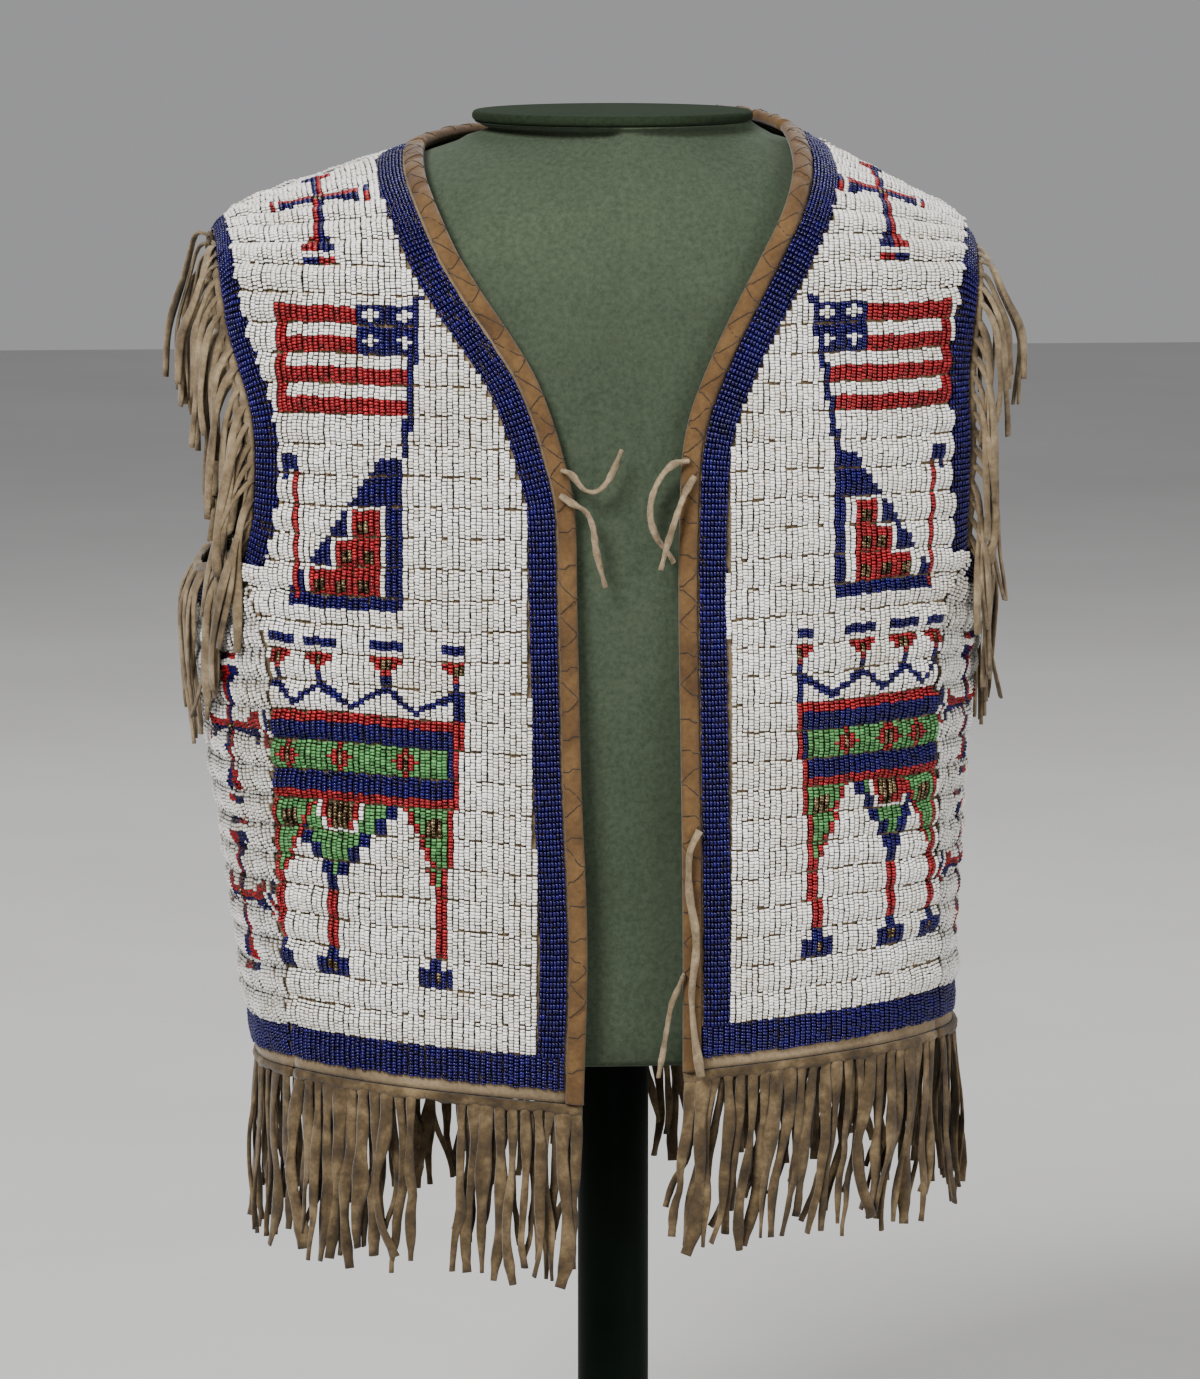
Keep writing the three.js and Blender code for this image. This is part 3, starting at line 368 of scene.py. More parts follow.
def cloth_point(x, up, face):
    """The surface points over x at distances up the cloth."""
    x, up = np.broadcast_arrays(np.asarray(x, float), np.asarray(up, float))
    shape = x.shape
    x, up = x.ravel(), up.ravel()
    z = height_at(x, up, face)
    y = section_y(x, z, face)
    high = np.nonzero(up > CHEST_UP)[0]
    if len(high):
        arc_y, arc_z, walked = shoulder_arc(x[high], face)
        way = np.clip(up[high] - CHEST_UP, 0, walked[:, -1])
        at = np.minimum((walked <= way[:, None]).sum(axis=1) - 1, walked.shape[1] - 2)
        row = np.arange(len(high))
        part = (way - walked[row, at]) / (walked[row, at + 1] - walked[row, at])
        y[high] = arc_y[row, at] * (1 - part) + arc_y[row, at + 1] * part
        z[high] = arc_z[row, at] * (1 - part) + arc_z[row, at + 1] * part
    return np.stack([x, y, z], axis=-1).reshape(*shape, 3)


def level(p, over):
    """How far out points are: 1 on the cloth's surface, less inside it."""
    x, y, z = p[..., 0], p[..., 1], p[..., 2]
    across = np.abs(x) / section_reach(x, z)
    deep = np.where(y < 0, section_depth(FRONT, z), section_depth(BACK, z))
    low = (across ** SECTION_POWER + (np.abs(y) / deep) ** SECTION_POWER) ** (1 / SECTION_POWER)
    chest = np.where(y < RIDGE_Y, section_y(x, CHEST_Z, FRONT), section_y(x, CHEST_Z, BACK))
    along = np.abs((y - RIDGE_Y) / np.where(np.abs(chest - RIDGE_Y) < 0.5, 0.5, chest - RIDGE_Y))
    upward = np.maximum(0, (z - CHEST_Z) / (ridge(x) - CHEST_Z))
    high = (along ** SHOULDER_POWER + upward ** SHOULDER_POWER) ** (1 / SHOULDER_POWER)
    return np.where(over, high, low)


def normal_at(p):
    """The way out of the cloth at points on it."""
    p = np.asarray(p, float)
    over = p[..., 2] > CHEST_Z
    slope = []
    for k in range(3):
        step = np.zeros(3)
        step[k] = 0.4
        slope.append(level(p + step, over) - level(p - step, over))
    return unit(np.stack(slope, axis=-1))


def settle(p):
    """Points near the cloth, moved onto its surface."""
    p = np.asarray(p, float)
    over = p[..., 2] > CHEST_Z
    by = 1 / level(p, over)
    low = np.stack([p[..., 0] * by, p[..., 1] * by, p[..., 2]], axis=-1)
    high = np.stack([
        p[..., 0], RIDGE_Y + (p[..., 1] - RIDGE_Y) * by, CHEST_Z + (p[..., 2] - CHEST_Z) * by,
    ], axis=-1)
    return np.where(over[..., None], high, low)


def slant(table, up, column):
    """How much longer an edge's own width is when measured level."""
    slope = (look(table, "up", up + 2, column) - look(table, "up", up - 2, column)) / 4
    return np.hypot(1, np.minimum(1.2, np.abs(slope)))


def walked_length(points):
    """Distances along a row of points, from its first."""
    return np.concatenate([[0], np.cumsum(np.linalg.norm(np.diff(points, axis=0), axis=1))])


def along_row(points, walked, at):
    """Points of a row at distances along it."""
    return np.column_stack([np.interp(at, walked, points[:, k]) for k in range(3)])


print("the right shoulder seam is", round(float(ridge_up(-100, FRONT)[0]), 1), "mm up the cloth")

# %% [markdown]
# The beads are sewn in lanes: nine beads to a string, each string side by side with the next, so that a lane
# is a soft roll with a groove at each end. A bead is a tiny pillow, wider than it is tall. In the lanes of
# the back it is a simpler roof with no underside, since that side lies against the hide. One mesh holds many
# beads, and an attribute gives each bead its glass, darkened at its foot as painted shade with a little dirt.

# %% The bead and its glass
COLUMN = 2.09
LANE = 11.3
STRING_BEADS = 9
BEAD = LANE / STRING_BEADS
HEM_TOP = 17.1
HEM_BEADS = 10
BORDER_BEADS = 8
BARE_EDGE = 4.5
BEAD_SPREAD = 0.05
BEAD_TURN = 0.05
BEAD_TIP = 0.07
BEAD_NUDGE = 0.07
WHITE, COBALT, RED, GREEN, GOLD = range(5)
GLASS = np.array([
    (0.95, 0.925, 0.87),
    (0.0034, 0.0004, 0.066),
    (0.250, 0.008, 0.012),
    (0.075, 0.230, 0.070),
    (0.12, 0.085, 0.03),
])
# Lower corners of each bead are darkened by this much: painted shade in the gaps between beads, with a little
# dirt.
GAP_DIRT_AND_PAINTED_SHADE = 0.20
PILLOW = (
    np.array([
        (-1.02, -0.63, -0.80), (1.02, -0.63, -0.80), (1.02, 0.63, -0.80), (-1.02, 0.63, -0.80),
        (-0.66, -0.33, 0), (0.66, -0.33, 0), (0.66, 0.33, 0), (-0.66, 0.33, 0),
    ]),
    ((3, 2, 1, 0), (4, 5, 6, 7), (0, 1, 5, 4), (1, 2, 6, 5), (2, 3, 7, 6), (3, 0, 4, 7)),
)
ROOF = (
    np.array([
        (-1.02, -0.63, -0.75), (1.02, -0.63, -0.75), (1.02, 0.63, -0.75), (-1.02, 0.63, -0.75),
        (0, -0.33, 0.1), (0, 0.33, 0.1),
    ]),
    ((0, 1, 4), (1, 2, 5, 4), (2, 3, 5), (3, 0, 4, 5)),
)
FACETED = (
    np.array([
        (-1, -0.62, -0.85), (1, -0.62, -0.85), (1, 0.62, -0.85), (-1, 0.62, -0.85),
        (-0.62, -0.5, -0.1), (0.1, -0.5, 0.08), (0.66, -0.5, -0.25),
        (0.66, 0.5, -0.25), (0.1, 0.5, 0.08), (-0.62, 0.5, -0.1),
    ]),
    ((3, 2, 1, 0), (0, 1, 6, 5, 4), (2, 3, 9, 8, 7), (1, 2, 7, 6), (3, 0, 4, 9), (4, 5, 8, 9), (5, 6, 7, 8)),
)
chance = np.random.default_rng(11)


def bead_piece(name, beads, shape, smooth=True):
    """One mesh of many beads; beads holds their tops, frames and glass."""
    points, faces = shape
    count, corners = len(beads["top"]), len(points)
    size = 1 + BEAD_SPREAD * chance.standard_normal((count, 1, 1)).clip(-1.6, 1.6)
    local = points[None] * size
    verts = (
        beads["top"][:, None] + beads["across"][:, None] * local[..., :1]
        + beads["string"][:, None] * local[..., 1:2] + beads["normal"][:, None] * local[..., 2:]
    ) * MM
    mesh = bpy.data.meshes.new(name)
    mesh.vertices.add(count * corners)
    mesh.vertices.foreach_set("co", verts.ravel())
    loop = np.concatenate([np.array(f) for f in faces])
    starts = np.cumsum([0] + [len(f) for f in faces[:-1]])
    loops = (loop[None] + np.arange(count)[:, None] * corners).ravel()
    mesh.loops.add(len(loops))
    mesh.loops.foreach_set("vertex_index", loops.astype(np.int32))
    mesh.polygons.add(count * len(faces))
    begin = (starts[None] + np.arange(count)[:, None] * len(loop)).ravel()
    mesh.polygons.foreach_set("loop_start", begin.astype(np.int32))
    mesh.update(calc_edges=True)
    if smooth:
        mesh.shade_smooth()
    white = beads["glass"] == WHITE
    spread = np.where(white, 0.06, 0.30)[:, None]
    shade = GLASS[beads["glass"]] * (1 + spread * chance.standard_normal((count, 1)).clip(-1.8, 2.6))
    warm = chance.random(count)
    shade[white] *= np.where(warm[white, None] > 0.9, (0.84, 0.79, 0.72), (1, 1, 1))
    # The lower corners take the darker colour: painted shade between the beads, with a little dirt.
    foot = np.where(points[:, 2] < -0.5, GAP_DIRT_AND_PAINTED_SHADE, 1.0)[None, :, None]
    colour = np.concatenate([(shade[:, None] * foot).clip(0, 1), np.ones((count, corners, 1))], axis=2)
    layer = mesh.color_attributes.new("bead_colour_and_painted_shade", "FLOAT_COLOR", "POINT")
    layer.data.foreach_set("color", colour.astype(np.float32).ravel())
    piece = bpy.data.objects.new(name, mesh)
    bpy.context.scene.collection.objects.link(piece)
    return piece


def bead_frames(points, across, glass, puff, slope):
    """Beads at surface points: lifted by puff, tipped by slope, each a little out of true."""
    normal = normal_at(points)
    across = unit(across - normal * (across * normal).sum(axis=-1, keepdims=True))
    string = np.cross(normal, across)
    slope = np.broadcast_to(np.asarray(slope, float), len(points))[:, None]
    turn = chance.standard_normal((len(points), 1)).clip(-2, 2) * BEAD_TURN
    tip = chance.standard_normal((len(points), 1)).clip(-2, 2) * BEAD_TIP
    across = across + string * turn
    string = string - across * turn + normal * (slope + tip)
    out = unit(normal - string * (slope + tip))
    lift = np.broadcast_to(np.asarray(puff, float), len(points))[:, None]
    nudge = chance.standard_normal((len(points), 3)).clip(-2, 2) * BEAD_NUDGE
    return {
        "top": points + normal * lift + nudge,
        "across": unit(across),
        "string": unit(string),
        "normal": out,
        "glass": np.asarray(glass),
        "foot": points,
    }


def loosened(beads, at, lane):
    """Strings slipped a little along and across, each lane in its own way."""
    count = np.round(at / COLUMN - 0.5)
    along = (noise(count + lane * 17.3, 3) - 0.5) * 0.95
    aside = (noise(count + lane * 11.9, 5) - 0.5) * 0.34
    beads["top"] = beads["top"] + beads["string"] * along[:, None] + beads["across"] * aside[:, None]
    return beads


def merged(groups):
    """Several groups of beads as one."""
    return {key: np.concatenate([g[key] for g in groups]) for key in groups[0]}


def chosen(beads, mask):
    """Those beads of a group that a mask keeps."""
    return {key: value[mask] for key, value in beads.items()}


def roll(row):
    """Lift and slope of a lane's roll at the nine rows of a string."""
    t = (np.asarray(row) + 0.5) / STRING_BEADS
    lift = 0.05 + 1.35 * np.sin(math.pi * t) ** 0.8
    steep = 1.08 * math.pi / LANE * np.cos(math.pi * t)
    slope = steep / np.maximum(0.5, np.sin(math.pi * t)) ** 0.2
    return lift, slope


def hem_roll(row):
    """Lift and slope of the hem border's roll at its ten rows."""
    t = (row + 0.5) / HEM_BEADS
    return 0.1 + 0.7 * math.sin(math.pi * t) ** 0.8, 0.12 * math.cos(math.pi * t)


def plump(s, lane, x):
    """How full a lane's roll is from place to place, fullest at the body's sides."""
    long_wave = 0.26 * np.sin(0.115 * s + 2.1 * lane) * np.sin(0.043 * s - 1.3 * lane)
    short_wave = 0.12 * np.sin(0.37 * s + lane * lane)
    uneven = long_wave + short_wave
    return (1 + uneven) * (1 + 0.75 * np.clip((np.abs(x) - 95) / 35, 0, 1))

# %% [markdown]
# The pictures on the fronts are charted by lane, row and column, as a beadworker counts them. A chart works
# on the place of each string round the body and on its lane, and the left panel is the right one's mirror
# with its own places.

# %% Charts of the fronts
PLACES = {
    RIGHT: {
        "flag": (77.8, 128.9), "canton": 101.2, "pole": ((238, 260.6, 299.4), (84, 82.1, 79)),
        "peak": (86, 126), "rod": (123.2, 127.4), "box": (63.5, 131.5),
        "stems": (65.1, 91.2, 115.2, 129.5), "valleys": (80.4, 103.7, 124.1), "spots": (84.3, 107.9, 125.6),
        "keel": (86.7, 110.5, 126), "cross": (114, 349.2), "lowest": 182,
    },
    LEFT: {
        "flag": (65.5, 119), "canton": 87.5, "pole": ((238, 299.7), (76.1, 66.3)),
        "peak": (75.5, 112.9), "rod": (112.5, 116.5), "box": (60.8, 115.6),
        "stems": (61.9, 85.6, 102.3, 114.5), "valleys": (75.2, 94.4, 109.7), "spots": (79.7, 96.4, 107.7),
        "keel": (83.1, 98.4, 109.1), "cross": (98, 349.2), "lowest": 180.3,
    },
}


def within(s, a, b):
    """Which strings stand between two places."""
    return (s > min(a, b)) & (s < max(a, b))


def cross_chart(glass, s, rows, centre, middle, long=20):
    """A cross of two-coloured bars, with flared arms and an end bar past each."""
    c = (s - round(centre / COLUMN) * COLUMN) / COLUMN
    d = rows - middle
    ac, ad = np.abs(c), np.abs(d)
    upper = np.where(c < 0, RED, COBALT)
    lower = np.where(c < 0, COBALT, RED)
    inner = np.where(d > 0, upper, lower)
    upright = (ad < long) & (ac < 1) | (ad >= long - 6) & (ad < long) & (ac < 2)
    upright |= (ad >= long - 3) & (ad < long) & (ac < 3)
    bar = (ac < 8) & (ad < 1.6 + 0.9 * (long > 20))
    flare = (ac >= 5) & (ac < 8) & (ad < 3.2)
    bar_end = (ac >= 6.5) & (ac < 8) & (ad < 4.8)
    level_bar = bar | flare | bar_end
    glass[:] = np.where(level_bar, np.where(d > 0, RED, COBALT), glass)
    glass[:] = np.where(upright, inner, glass)
    glass[:] = np.where((ad >= long + 2) & (ad < long + 4) & (ac < 3), np.where(d > 0, lower, upper), glass)
    glass[:] = np.where((ac >= 9) & (ac < 10) & (ad < 5.6), np.where(d > 0, COBALT, RED), glass)
    glass[:] = np.where((ac < 1) & (ad < 1.1), GOLD, glass)


def flag_chart(glass, s, up, lane, row, place, at):
    """Seven red stripes on white, a cobalt corner with four small white crosses, and a pole."""
    ups, xs = at["pole"]
    pole = np.interp(up, ups, [place(x, 272) for x in xs])
    far = place(at["flag"][1], 272)
    flag = (s > pole) & (s < far) & (lane >= 22) & ((lane < 25) | (lane == 25) & (row < 6))
    glass[flag & (row < 5)] = RED
    glass[flag & within(s, far, far - 1.6 * COLUMN)] = RED
    near, corner = place(at["flag"][0], 272), place(at["canton"], 272)
    canton = flag & (s < corner) & (lane >= 24)
    glass[canton] = COBALT
    wide = corner - near
    for share in (0.29, 0.74):
        for middle in (3.6, 11.4):
            d = np.abs((lane - 24) * STRING_BEADS + row - middle)
            c = np.abs(s - near - share * wide) / COLUMN
            glass[canton & ((c < 0.5) & (d < 1.9) | (c < 1.5) & (d < 0.6))] = WHITE
    glass[(np.abs(s - pole) < 0.6 * COLUMN) & (up > 238) & (up < 299.5)] = COBALT


def peak_chart(glass, s, up, lane, row, place, at):
    """Red blocks like a stair under a cobalt slope, and a thin rod beside them."""
    near, far = place(at["peak"][0], 205), place(at["peak"][1], 205)
    wide = (far - near) / 18
    rows = (lane - 15) * STRING_BEADS + row
    slope = np.minimum(9 + (far - s) / wide * 2.7, 50)
    inside = within(s, near - 0.4 * COLUMN, far) & (rows >= 5) & (rows < slope)
    glass[inside] = COBALT
    a = near + 3 * wide
    counts = (11, 7, 4, 0)
    for k in range(3):
        b = a + counts[k] * wide
        step = lane == 16 + k
        glass[step & within(s, a - wide, b + 1.1 * wide)] = WHITE
        glass[step & within(s, a, b) & ((row < 8) | (s < a + counts[k + 1] * wide))] = RED
        for j in range(3 - k):
            spot = b - (1.6 + 3.5 * j) * wide
            glass[step & (np.abs(s - spot) < COLUMN) & (row >= 1) & (row < 5)] = GOLD
    rod, high = (place(x, 205) for x in at["rod"])
    glass[(np.abs(s - rod) < 0.55 * COLUMN) & (up > at["lowest"] + 2) & (up < 236)] = RED
    glass[within(s, rod - 0.5 * COLUMN, high) & (up > 232.5) & (up < 239)] = COBALT
    glass[within(s, high - COLUMN, high) & (up > 229) & (up < 239)] = COBALT


def box_chart(glass, s, lane, row, place, at):
    """A banded box on legs, with a zigzag and small peaks over it."""
    near, far = place(at["box"][0], 110), place(at["box"][1], 110)
    inner = near + 0.42 * COLUMN * np.clip(11 - lane, 0, 8)
    box = (s > inner) & (s < far)
    stems = [place(x, 150) for x in at["stems"]]
    valleys = [place(x, 150) for x in at["valleys"]]
    for stem in stems:
        c = np.abs(s - stem) / COLUMN
        glass[box & (lane == 14) & (row >= 2) & (row < 5) & (c < 3)] = COBALT
        glass[box & (lane == 13) & (row > 6) & (c < 2.8)] = RED
        glass[box & (lane == 13) & (row > 4) & (row < 7) & (c < 1.8)] = RED
        glass[box & (lane == 13) & (row > 4) & (row < 8) & (c < 0.8)] = GOLD
        glass[box & (lane == 13) & (row > 2) & (row < 5) & (c < 0.6)] = RED
        glass[box & (lane == 13) & (row < 3) & (c < 0.6)] = COBALT
    turns = sorted([(p, 8.0) for p in stems] + [(p, 1.6) for p in valleys])
    zigzag = np.interp(s, [t[0] for t in turns], [t[1] for t in turns])
    glass[box & (lane == 12) & (np.abs(row - zigzag) < 1.2)] = COBALT
    glass[box & (lane == 12) & (s < inner + 1.05 * COLUMN)] = COBALT
    glass[box & (lane == 11)] = np.where(row[box & (lane == 11)] > 5, RED, COBALT)
    glass[box & (lane == 10)] = GREEN
    for spot in at["spots"]:
        c = np.abs(s - place(spot, 113)) / COLUMN
        d = np.abs(row - 4)
        diamond = box & (lane == 10) & ((c < 0.6) | (c < 1.6) & (d < 3) | (c < 2.6) & (d < 1))
        glass[diamond] = RED
        glass[diamond & (c < 0.6) & (d < 2.2)] = GOLD
    glass[box & (lane == 9)] = np.where(row[box & (lane == 9)] > 2, COBALT, RED)
    bands = box & (lane >= 9) & (lane <= 11)
    glass[bands & (s < inner + 2.1 * COLUMN)] = COBALT
    glass[bands & (lane == 11) & (row > 5)] = RED
    glass[bands & (lane == 9) & (row < 3)] = RED
    glass[bands & (s < inner + 1.05 * COLUMN)] = RED
    legs = (lane <= 8) & (lane >= 6)
    half = (8 - lane) * 2 + (row < 4.5)
    a, tip, b = (place(x, 90) for x in at["keel"])
    share = np.clip(1 - half / 5.2, 0, 1)
    low = np.minimum(tip + (a - tip) * share, tip - COLUMN)
    high = np.maximum(tip + (b - tip) * share, tip + COLUMN)
    keel = legs & (s > low) & (s < high)
    glass[keel] = GREEN
    glass[keel & ((s < low + 2 * COLUMN) | (s > high - 2 * COLUMN))] = COBALT
    middle = tip + (a + b - 2 * tip) * 0.5
    c = np.abs(s - middle) / COLUMN
    glass[(lane == 8) & (row >= 4) & (c < 4.7)] = WHITE
    glass[(lane == 8) & (row < 4) & (c < 3.7)] = WHITE
    glass[(lane == 8) & (row >= 4) & (c < 3.7)] = RED
    glass[(lane == 8) & (row < 4) & (row > 0) & (c < 2.6)] = RED
    glass[(lane == 8) & (row > 3) & (c < 2.1)] = GOLD
    glass[(lane == 8) & (row > 0) & (row < 4) & (c < 1.1)] = GOLD
    under = (9 - lane) * STRING_BEADS - row
    wide = np.floor(9.4 - 7.4 * under / 27) * COLUMN
    for edge, way in ((inner, 1), (far, -1)):
        out = (s - edge) * way
        leg = legs & (out > 0) & (out < wide)
        glass[leg] = GREEN
        glass[leg & ((out < COLUMN) | (out > wide - COLUMN))] = RED
        glass[(lane == 8) & (row < 6) & (out > 2.2 * COLUMN) & (out < 5.2 * COLUMN)] = GOLD
        glass[(lane <= 5) & (lane >= 4) & (out > 0) & (out < 2.05 * COLUMN)] = RED
        glass[(lane == 3) & (row > 5) & (out > 0) & (out < 2.05 * COLUMN)] = COBALT
        glass[(lane == 3) & (row <= 5) & (out > -2 * COLUMN) & (out < 4.05 * COLUMN)] = COBALT
        glass[(lane == 3) & (row > 1) & (row < 5) & (out > 0.5 * COLUMN) & (out < 1.5 * COLUMN)] = GOLD
    c = np.abs(s - tip) / COLUMN
    glass[(lane <= 5) & (lane >= 4) & (c < 1)] = RED
    glass[(lane == 3) & (row > 5) & (c < 1.05)] = COBALT
    glass[(lane == 3) & (row <= 5) & (c < 3)] = COBALT
    glass[(lane == 3) & (row > 1) & (row < 5) & (c < 0.9)] = GOLD


print(len(PLACES), "front charts")

# %% Strings of beads across a front
LANES = 35
ZERO_STRING = 85.0
SEAM_X = np.linspace(60, 166, 107)


def row_heights():
    """Heights up the cloth of every row: the hem's ten, then nine to each lane."""
    rows = [(0, k, BARE_EDGE + (HEM_TOP - BARE_EDGE) * (k + 0.5) / HEM_BEADS) for k in range(HEM_BEADS)]
    for lane in range(1, LANES + 1):
        foot = HEM_TOP + LANE * (lane - 1)
        rows += [(lane, r, foot + BEAD * (r + 0.5)) for r in range(STRING_BEADS)]
    return rows


def waver(x, up):
    """The small wander of the lanes."""
    calm = np.clip((up - HEM_TOP) / 20, 0, 1)
    return calm * (0.45 * np.sin(0.052 * x + up * 0.05) + 0.25 * np.sin(0.13 * x - up * 0.031))


def front_row(side, up):
    """Points of a level row over a front, and their distances from the string at 85 mm."""
    x = side * np.linspace(6, 166, 161)
    points = cloth_point(x, up + waver(x, up), FRONT)
    walked = walked_length(points)
    return points, walked - np.interp(ZERO_STRING, np.abs(x), walked)


def front_beads(side):
    """Hem and field beads of a front panel."""
    name = SIDE_NAMES[side]
    columns = (np.arange(-60, 60) + 0.5) * COLUMN
    groups = {"hem": [], "field": []}
    top_at = ridge_up(side * SEAM_X, FRONT)
    rows_cache = {}

    def place(x, up):
        key = round(up)
        if key not in rows_cache:
            rows_cache[key] = front_row(side, up)
        points, s = rows_cache[key]
        return float(np.interp(x, np.abs(points[:, 0]), s))

    for lane, row, up in row_heights():
        points, s = front_row(side, up)
        reach = np.abs(points[:, 0])
        wide = float(slant(OPENING, up, name))
        edge = side * float(look(OPENING, "up", up, name))
        border = 0 if lane == 0 else FRONT_BORDER
        low = np.interp(edge + (BINDING + EDGE_GAP) * wide, reach, s) + (border * wide if border else 0.3)
        if up < ARM_FLOOR_UP:
            seam = side * float(look(SIDE_SEAM, "up", up, name)) - SEAM * 0.8
            high = np.interp(seam, reach, s) - 0.2
        else:
            arm = side * float(look(ARMHOLE, "up", up, name))
            high = np.interp(arm, reach, s) - ARM_BORDER * float(slant(ARMHOLE, up, name))
        at = columns[(columns - COLUMN / 2 > low - 0.9) & (columns + COLUMN / 2 < high + 1.1)]
        if not len(at):
            continue
        place_on = along_row(points, s, at)
        top = np.interp(np.abs(place_on[:, 0]), SEAM_X, top_at)
        keep = up < top - BEADS_BELOW_SEAM
        at, place_on = at[keep], place_on[keep]
        if not len(at):
            continue
        across = along_row(points, s, at + 0.5) - along_row(points, s, at - 0.5)
        across *= side
        if lane == 0:
            glass = np.full(len(at), COBALT)
            puff, slope = hem_roll(row)
        else:
            glass = np.full(len(at), WHITE)
            lanes, rows, ups = (np.full(len(at), v, float) for v in (lane, row, up))
            spots = PLACES[side]
            middle = (spots["cross"][1] - HEM_TOP) / BEAD
            counted = (lanes - 1) * STRING_BEADS + rows
            cross_chart(glass, at, counted, place(spots["cross"][0], 340), middle, 27)
            flag_chart(glass, at, ups, lanes, rows, place, spots)
            peak_chart(glass, at, ups, lanes, rows, place, spots)
            box_chart(glass, at, lanes, rows, place, spots)
            full = plump(at, lane, place_on[:, 0])
            puff, slope = roll(row)
            puff, slope = puff * full, slope * full
        made = loosened(bead_frames(place_on, across, glass, puff, slope), at, lane)
        groups["hem" if lane == 0 else "field"].append(made)
    return {key: merged(value) for key, value in groups.items()}


front_groups = {side: front_beads(side) for side in (RIGHT, LEFT)}
for side, groups in front_groups.items():
    print(SIDE_NAMES[side], "front beads:", {key: len(value["top"]) for key, value in groups.items()})

# %% [markdown]
# The borders are cobalt. Their strings stand square to the edge, so each border is walked along its edge, and
# at every step one string of eight beads runs into the cloth.

# %% Cobalt borders
def border_beads(edge, inward, width=ARM_BORDER):
    """Strings square to an edge; edge is a row of points, inward the way into the cloth."""
    walked = walked_length(edge)
    at = np.arange(COLUMN / 2, walked[-1] - COLUMN * 0.4, COLUMN)
    foot = along_row(edge, walked, at)
    into = unit(along_row(inward, walked, at))
    along = unit(along_row(edge, walked, at + 0.6) - along_row(edge, walked, at - 0.6))
    pitch = (width - 0.3) / BORDER_BEADS
    groups = []
    for k in range(BORDER_BEADS):
        t = (k + 0.5) / BORDER_BEADS
        points = settle(foot + into * (0.15 + pitch * (k + 0.5)))
        lift = 0.1 + 0.9 * math.sin(math.pi * t) ** 0.8
        normal = normal_at(points)
        string = np.cross(normal, along)
        sign = np.sign((string * into).sum(axis=1))
        tilt = 0.55 * math.pi / width * math.cos(math.pi * t) * sign
        groups.append(bead_frames(points, along, np.full(len(points), COBALT), lift, tilt))
    return merged(groups)


def inward_ways(edge, towards):
    """For each point of an edge, the way into the cloth, towards a side."""
    along = unit(np.gradient(edge, axis=0))
    way = unit(np.cross(normal_at(edge), along))
    sign = np.sign((way * (towards - edge)).sum(axis=1))
    return way * sign[:, None]


def opening_edge(side):
    """The beaded edge along a front's opening, from the hem border to the shoulder."""
    name = SIDE_NAMES[side]
    up = np.linspace(HEM_TOP, 404, 300)
    wide = slant(OPENING, up, name)
    x = look(OPENING, "up", up, name) + side * (BINDING + EDGE_GAP) * wide
    top = ridge_up(x, FRONT) - EDGE_BELOW_SEAM
    return cloth_point(x[up < top], up[up < top], FRONT)


def armhole_edge(side, face):
    """The armhole's edge on one face, from its floor to the shoulder seam."""
    name = SIDE_NAMES[side]
    up = np.linspace(ARM_FLOOR_UP, 385, 260)
    x = look(ARMHOLE, "up", up, name)
    top = ridge_up(x, face) - EDGE_BELOW_SEAM
    return cloth_point(x[up < top], up[up < top], face)


front_borders = {}
for side in (RIGHT, LEFT):
    opening = opening_edge(side)
    outward = cloth_point(opening[:, 0] + side * 30, np.linspace(HEM_TOP, 380, len(opening)), FRONT)
    arm = armhole_edge(side, FRONT)
    centre = np.column_stack([np.full(len(arm), side * 90.0), arm[:, 1] - 30, arm[:, 2]])
    groups = [
        border_beads(opening, inward_ways(opening, outward), FRONT_BORDER),
        border_beads(arm, inward_ways(arm, centre)),
    ]
    front_borders[side] = merged(groups)
    print(SIDE_NAMES[side], "front borders:", len(front_borders[side]["top"]), "beads")

# %% [markdown]
# The back is one piece. It comes forward round both sides to the side seams, and under each armhole its rows
# sag a little. Its rows are walked from the middle of the back outwards.

# %% Rows of the back
def round_point(side, way, z):
    """Points round a level section: way 0 is the front's middle, 1 the side, 2 the back's middle."""
    angle = np.asarray(way) * math.pi / 2
    across = np.abs(np.sin(angle)) ** (2 / SECTION_POWER)
    along = np.abs(np.cos(angle)) ** (2 / SECTION_POWER)
    face = np.where(np.asarray(way) < 1, FRONT, BACK)
    deep = np.where(face == FRONT, section_depth(FRONT, z), section_depth(BACK, z))
    z = np.broadcast_to(z, angle.shape)
    return np.column_stack([side * section_reach(side, z) * across, face * deep * along, z])


def way_at(side, x, z, face):
    """The way round at x on one face."""
    part = min(1.0, abs(x) / float(section_reach(side, z)))
    way = math.asin(part ** (SECTION_POWER / 2)) * 2 / math.pi
    return way if face == FRONT else 2 - way


def side_points(side, up, count=70):
    """Points from the side seam round to the back's corner, at a height up the cloth."""
    name = SIDE_NAMES[side]
    z = float(height_at(side * 130, up, BACK))
    seam = float(look(SIDE_SEAM, "up", up, name)) + side * SEAM * 0.8
    corner = float(look(ARMHOLE, "up", max(up, ARM_FLOOR_UP), name))
    corner = side * min(abs(corner), float(section_reach(side, z)) * 0.905)
    way = np.linspace(way_at(side, seam, z, FRONT), way_at(side, corner, z, BACK), count)
    points = round_point(side, way, z)
    walked = walked_length(points)
    points = along_row(points, walked, np.linspace(0, walked[-1], count))
    below = (ARM_FLOOR_UP - up) / CAD_LANE
    share = max(0.0, 1 - max(0.0, below - 1) / 5) ** 1.5
    sag = ARM_DIP * share * np.sin(math.pi * np.linspace(0, 1, count).clip(0, 1)) ** 0.8
    points[:, 2] -= sag
    return settle(points), corner


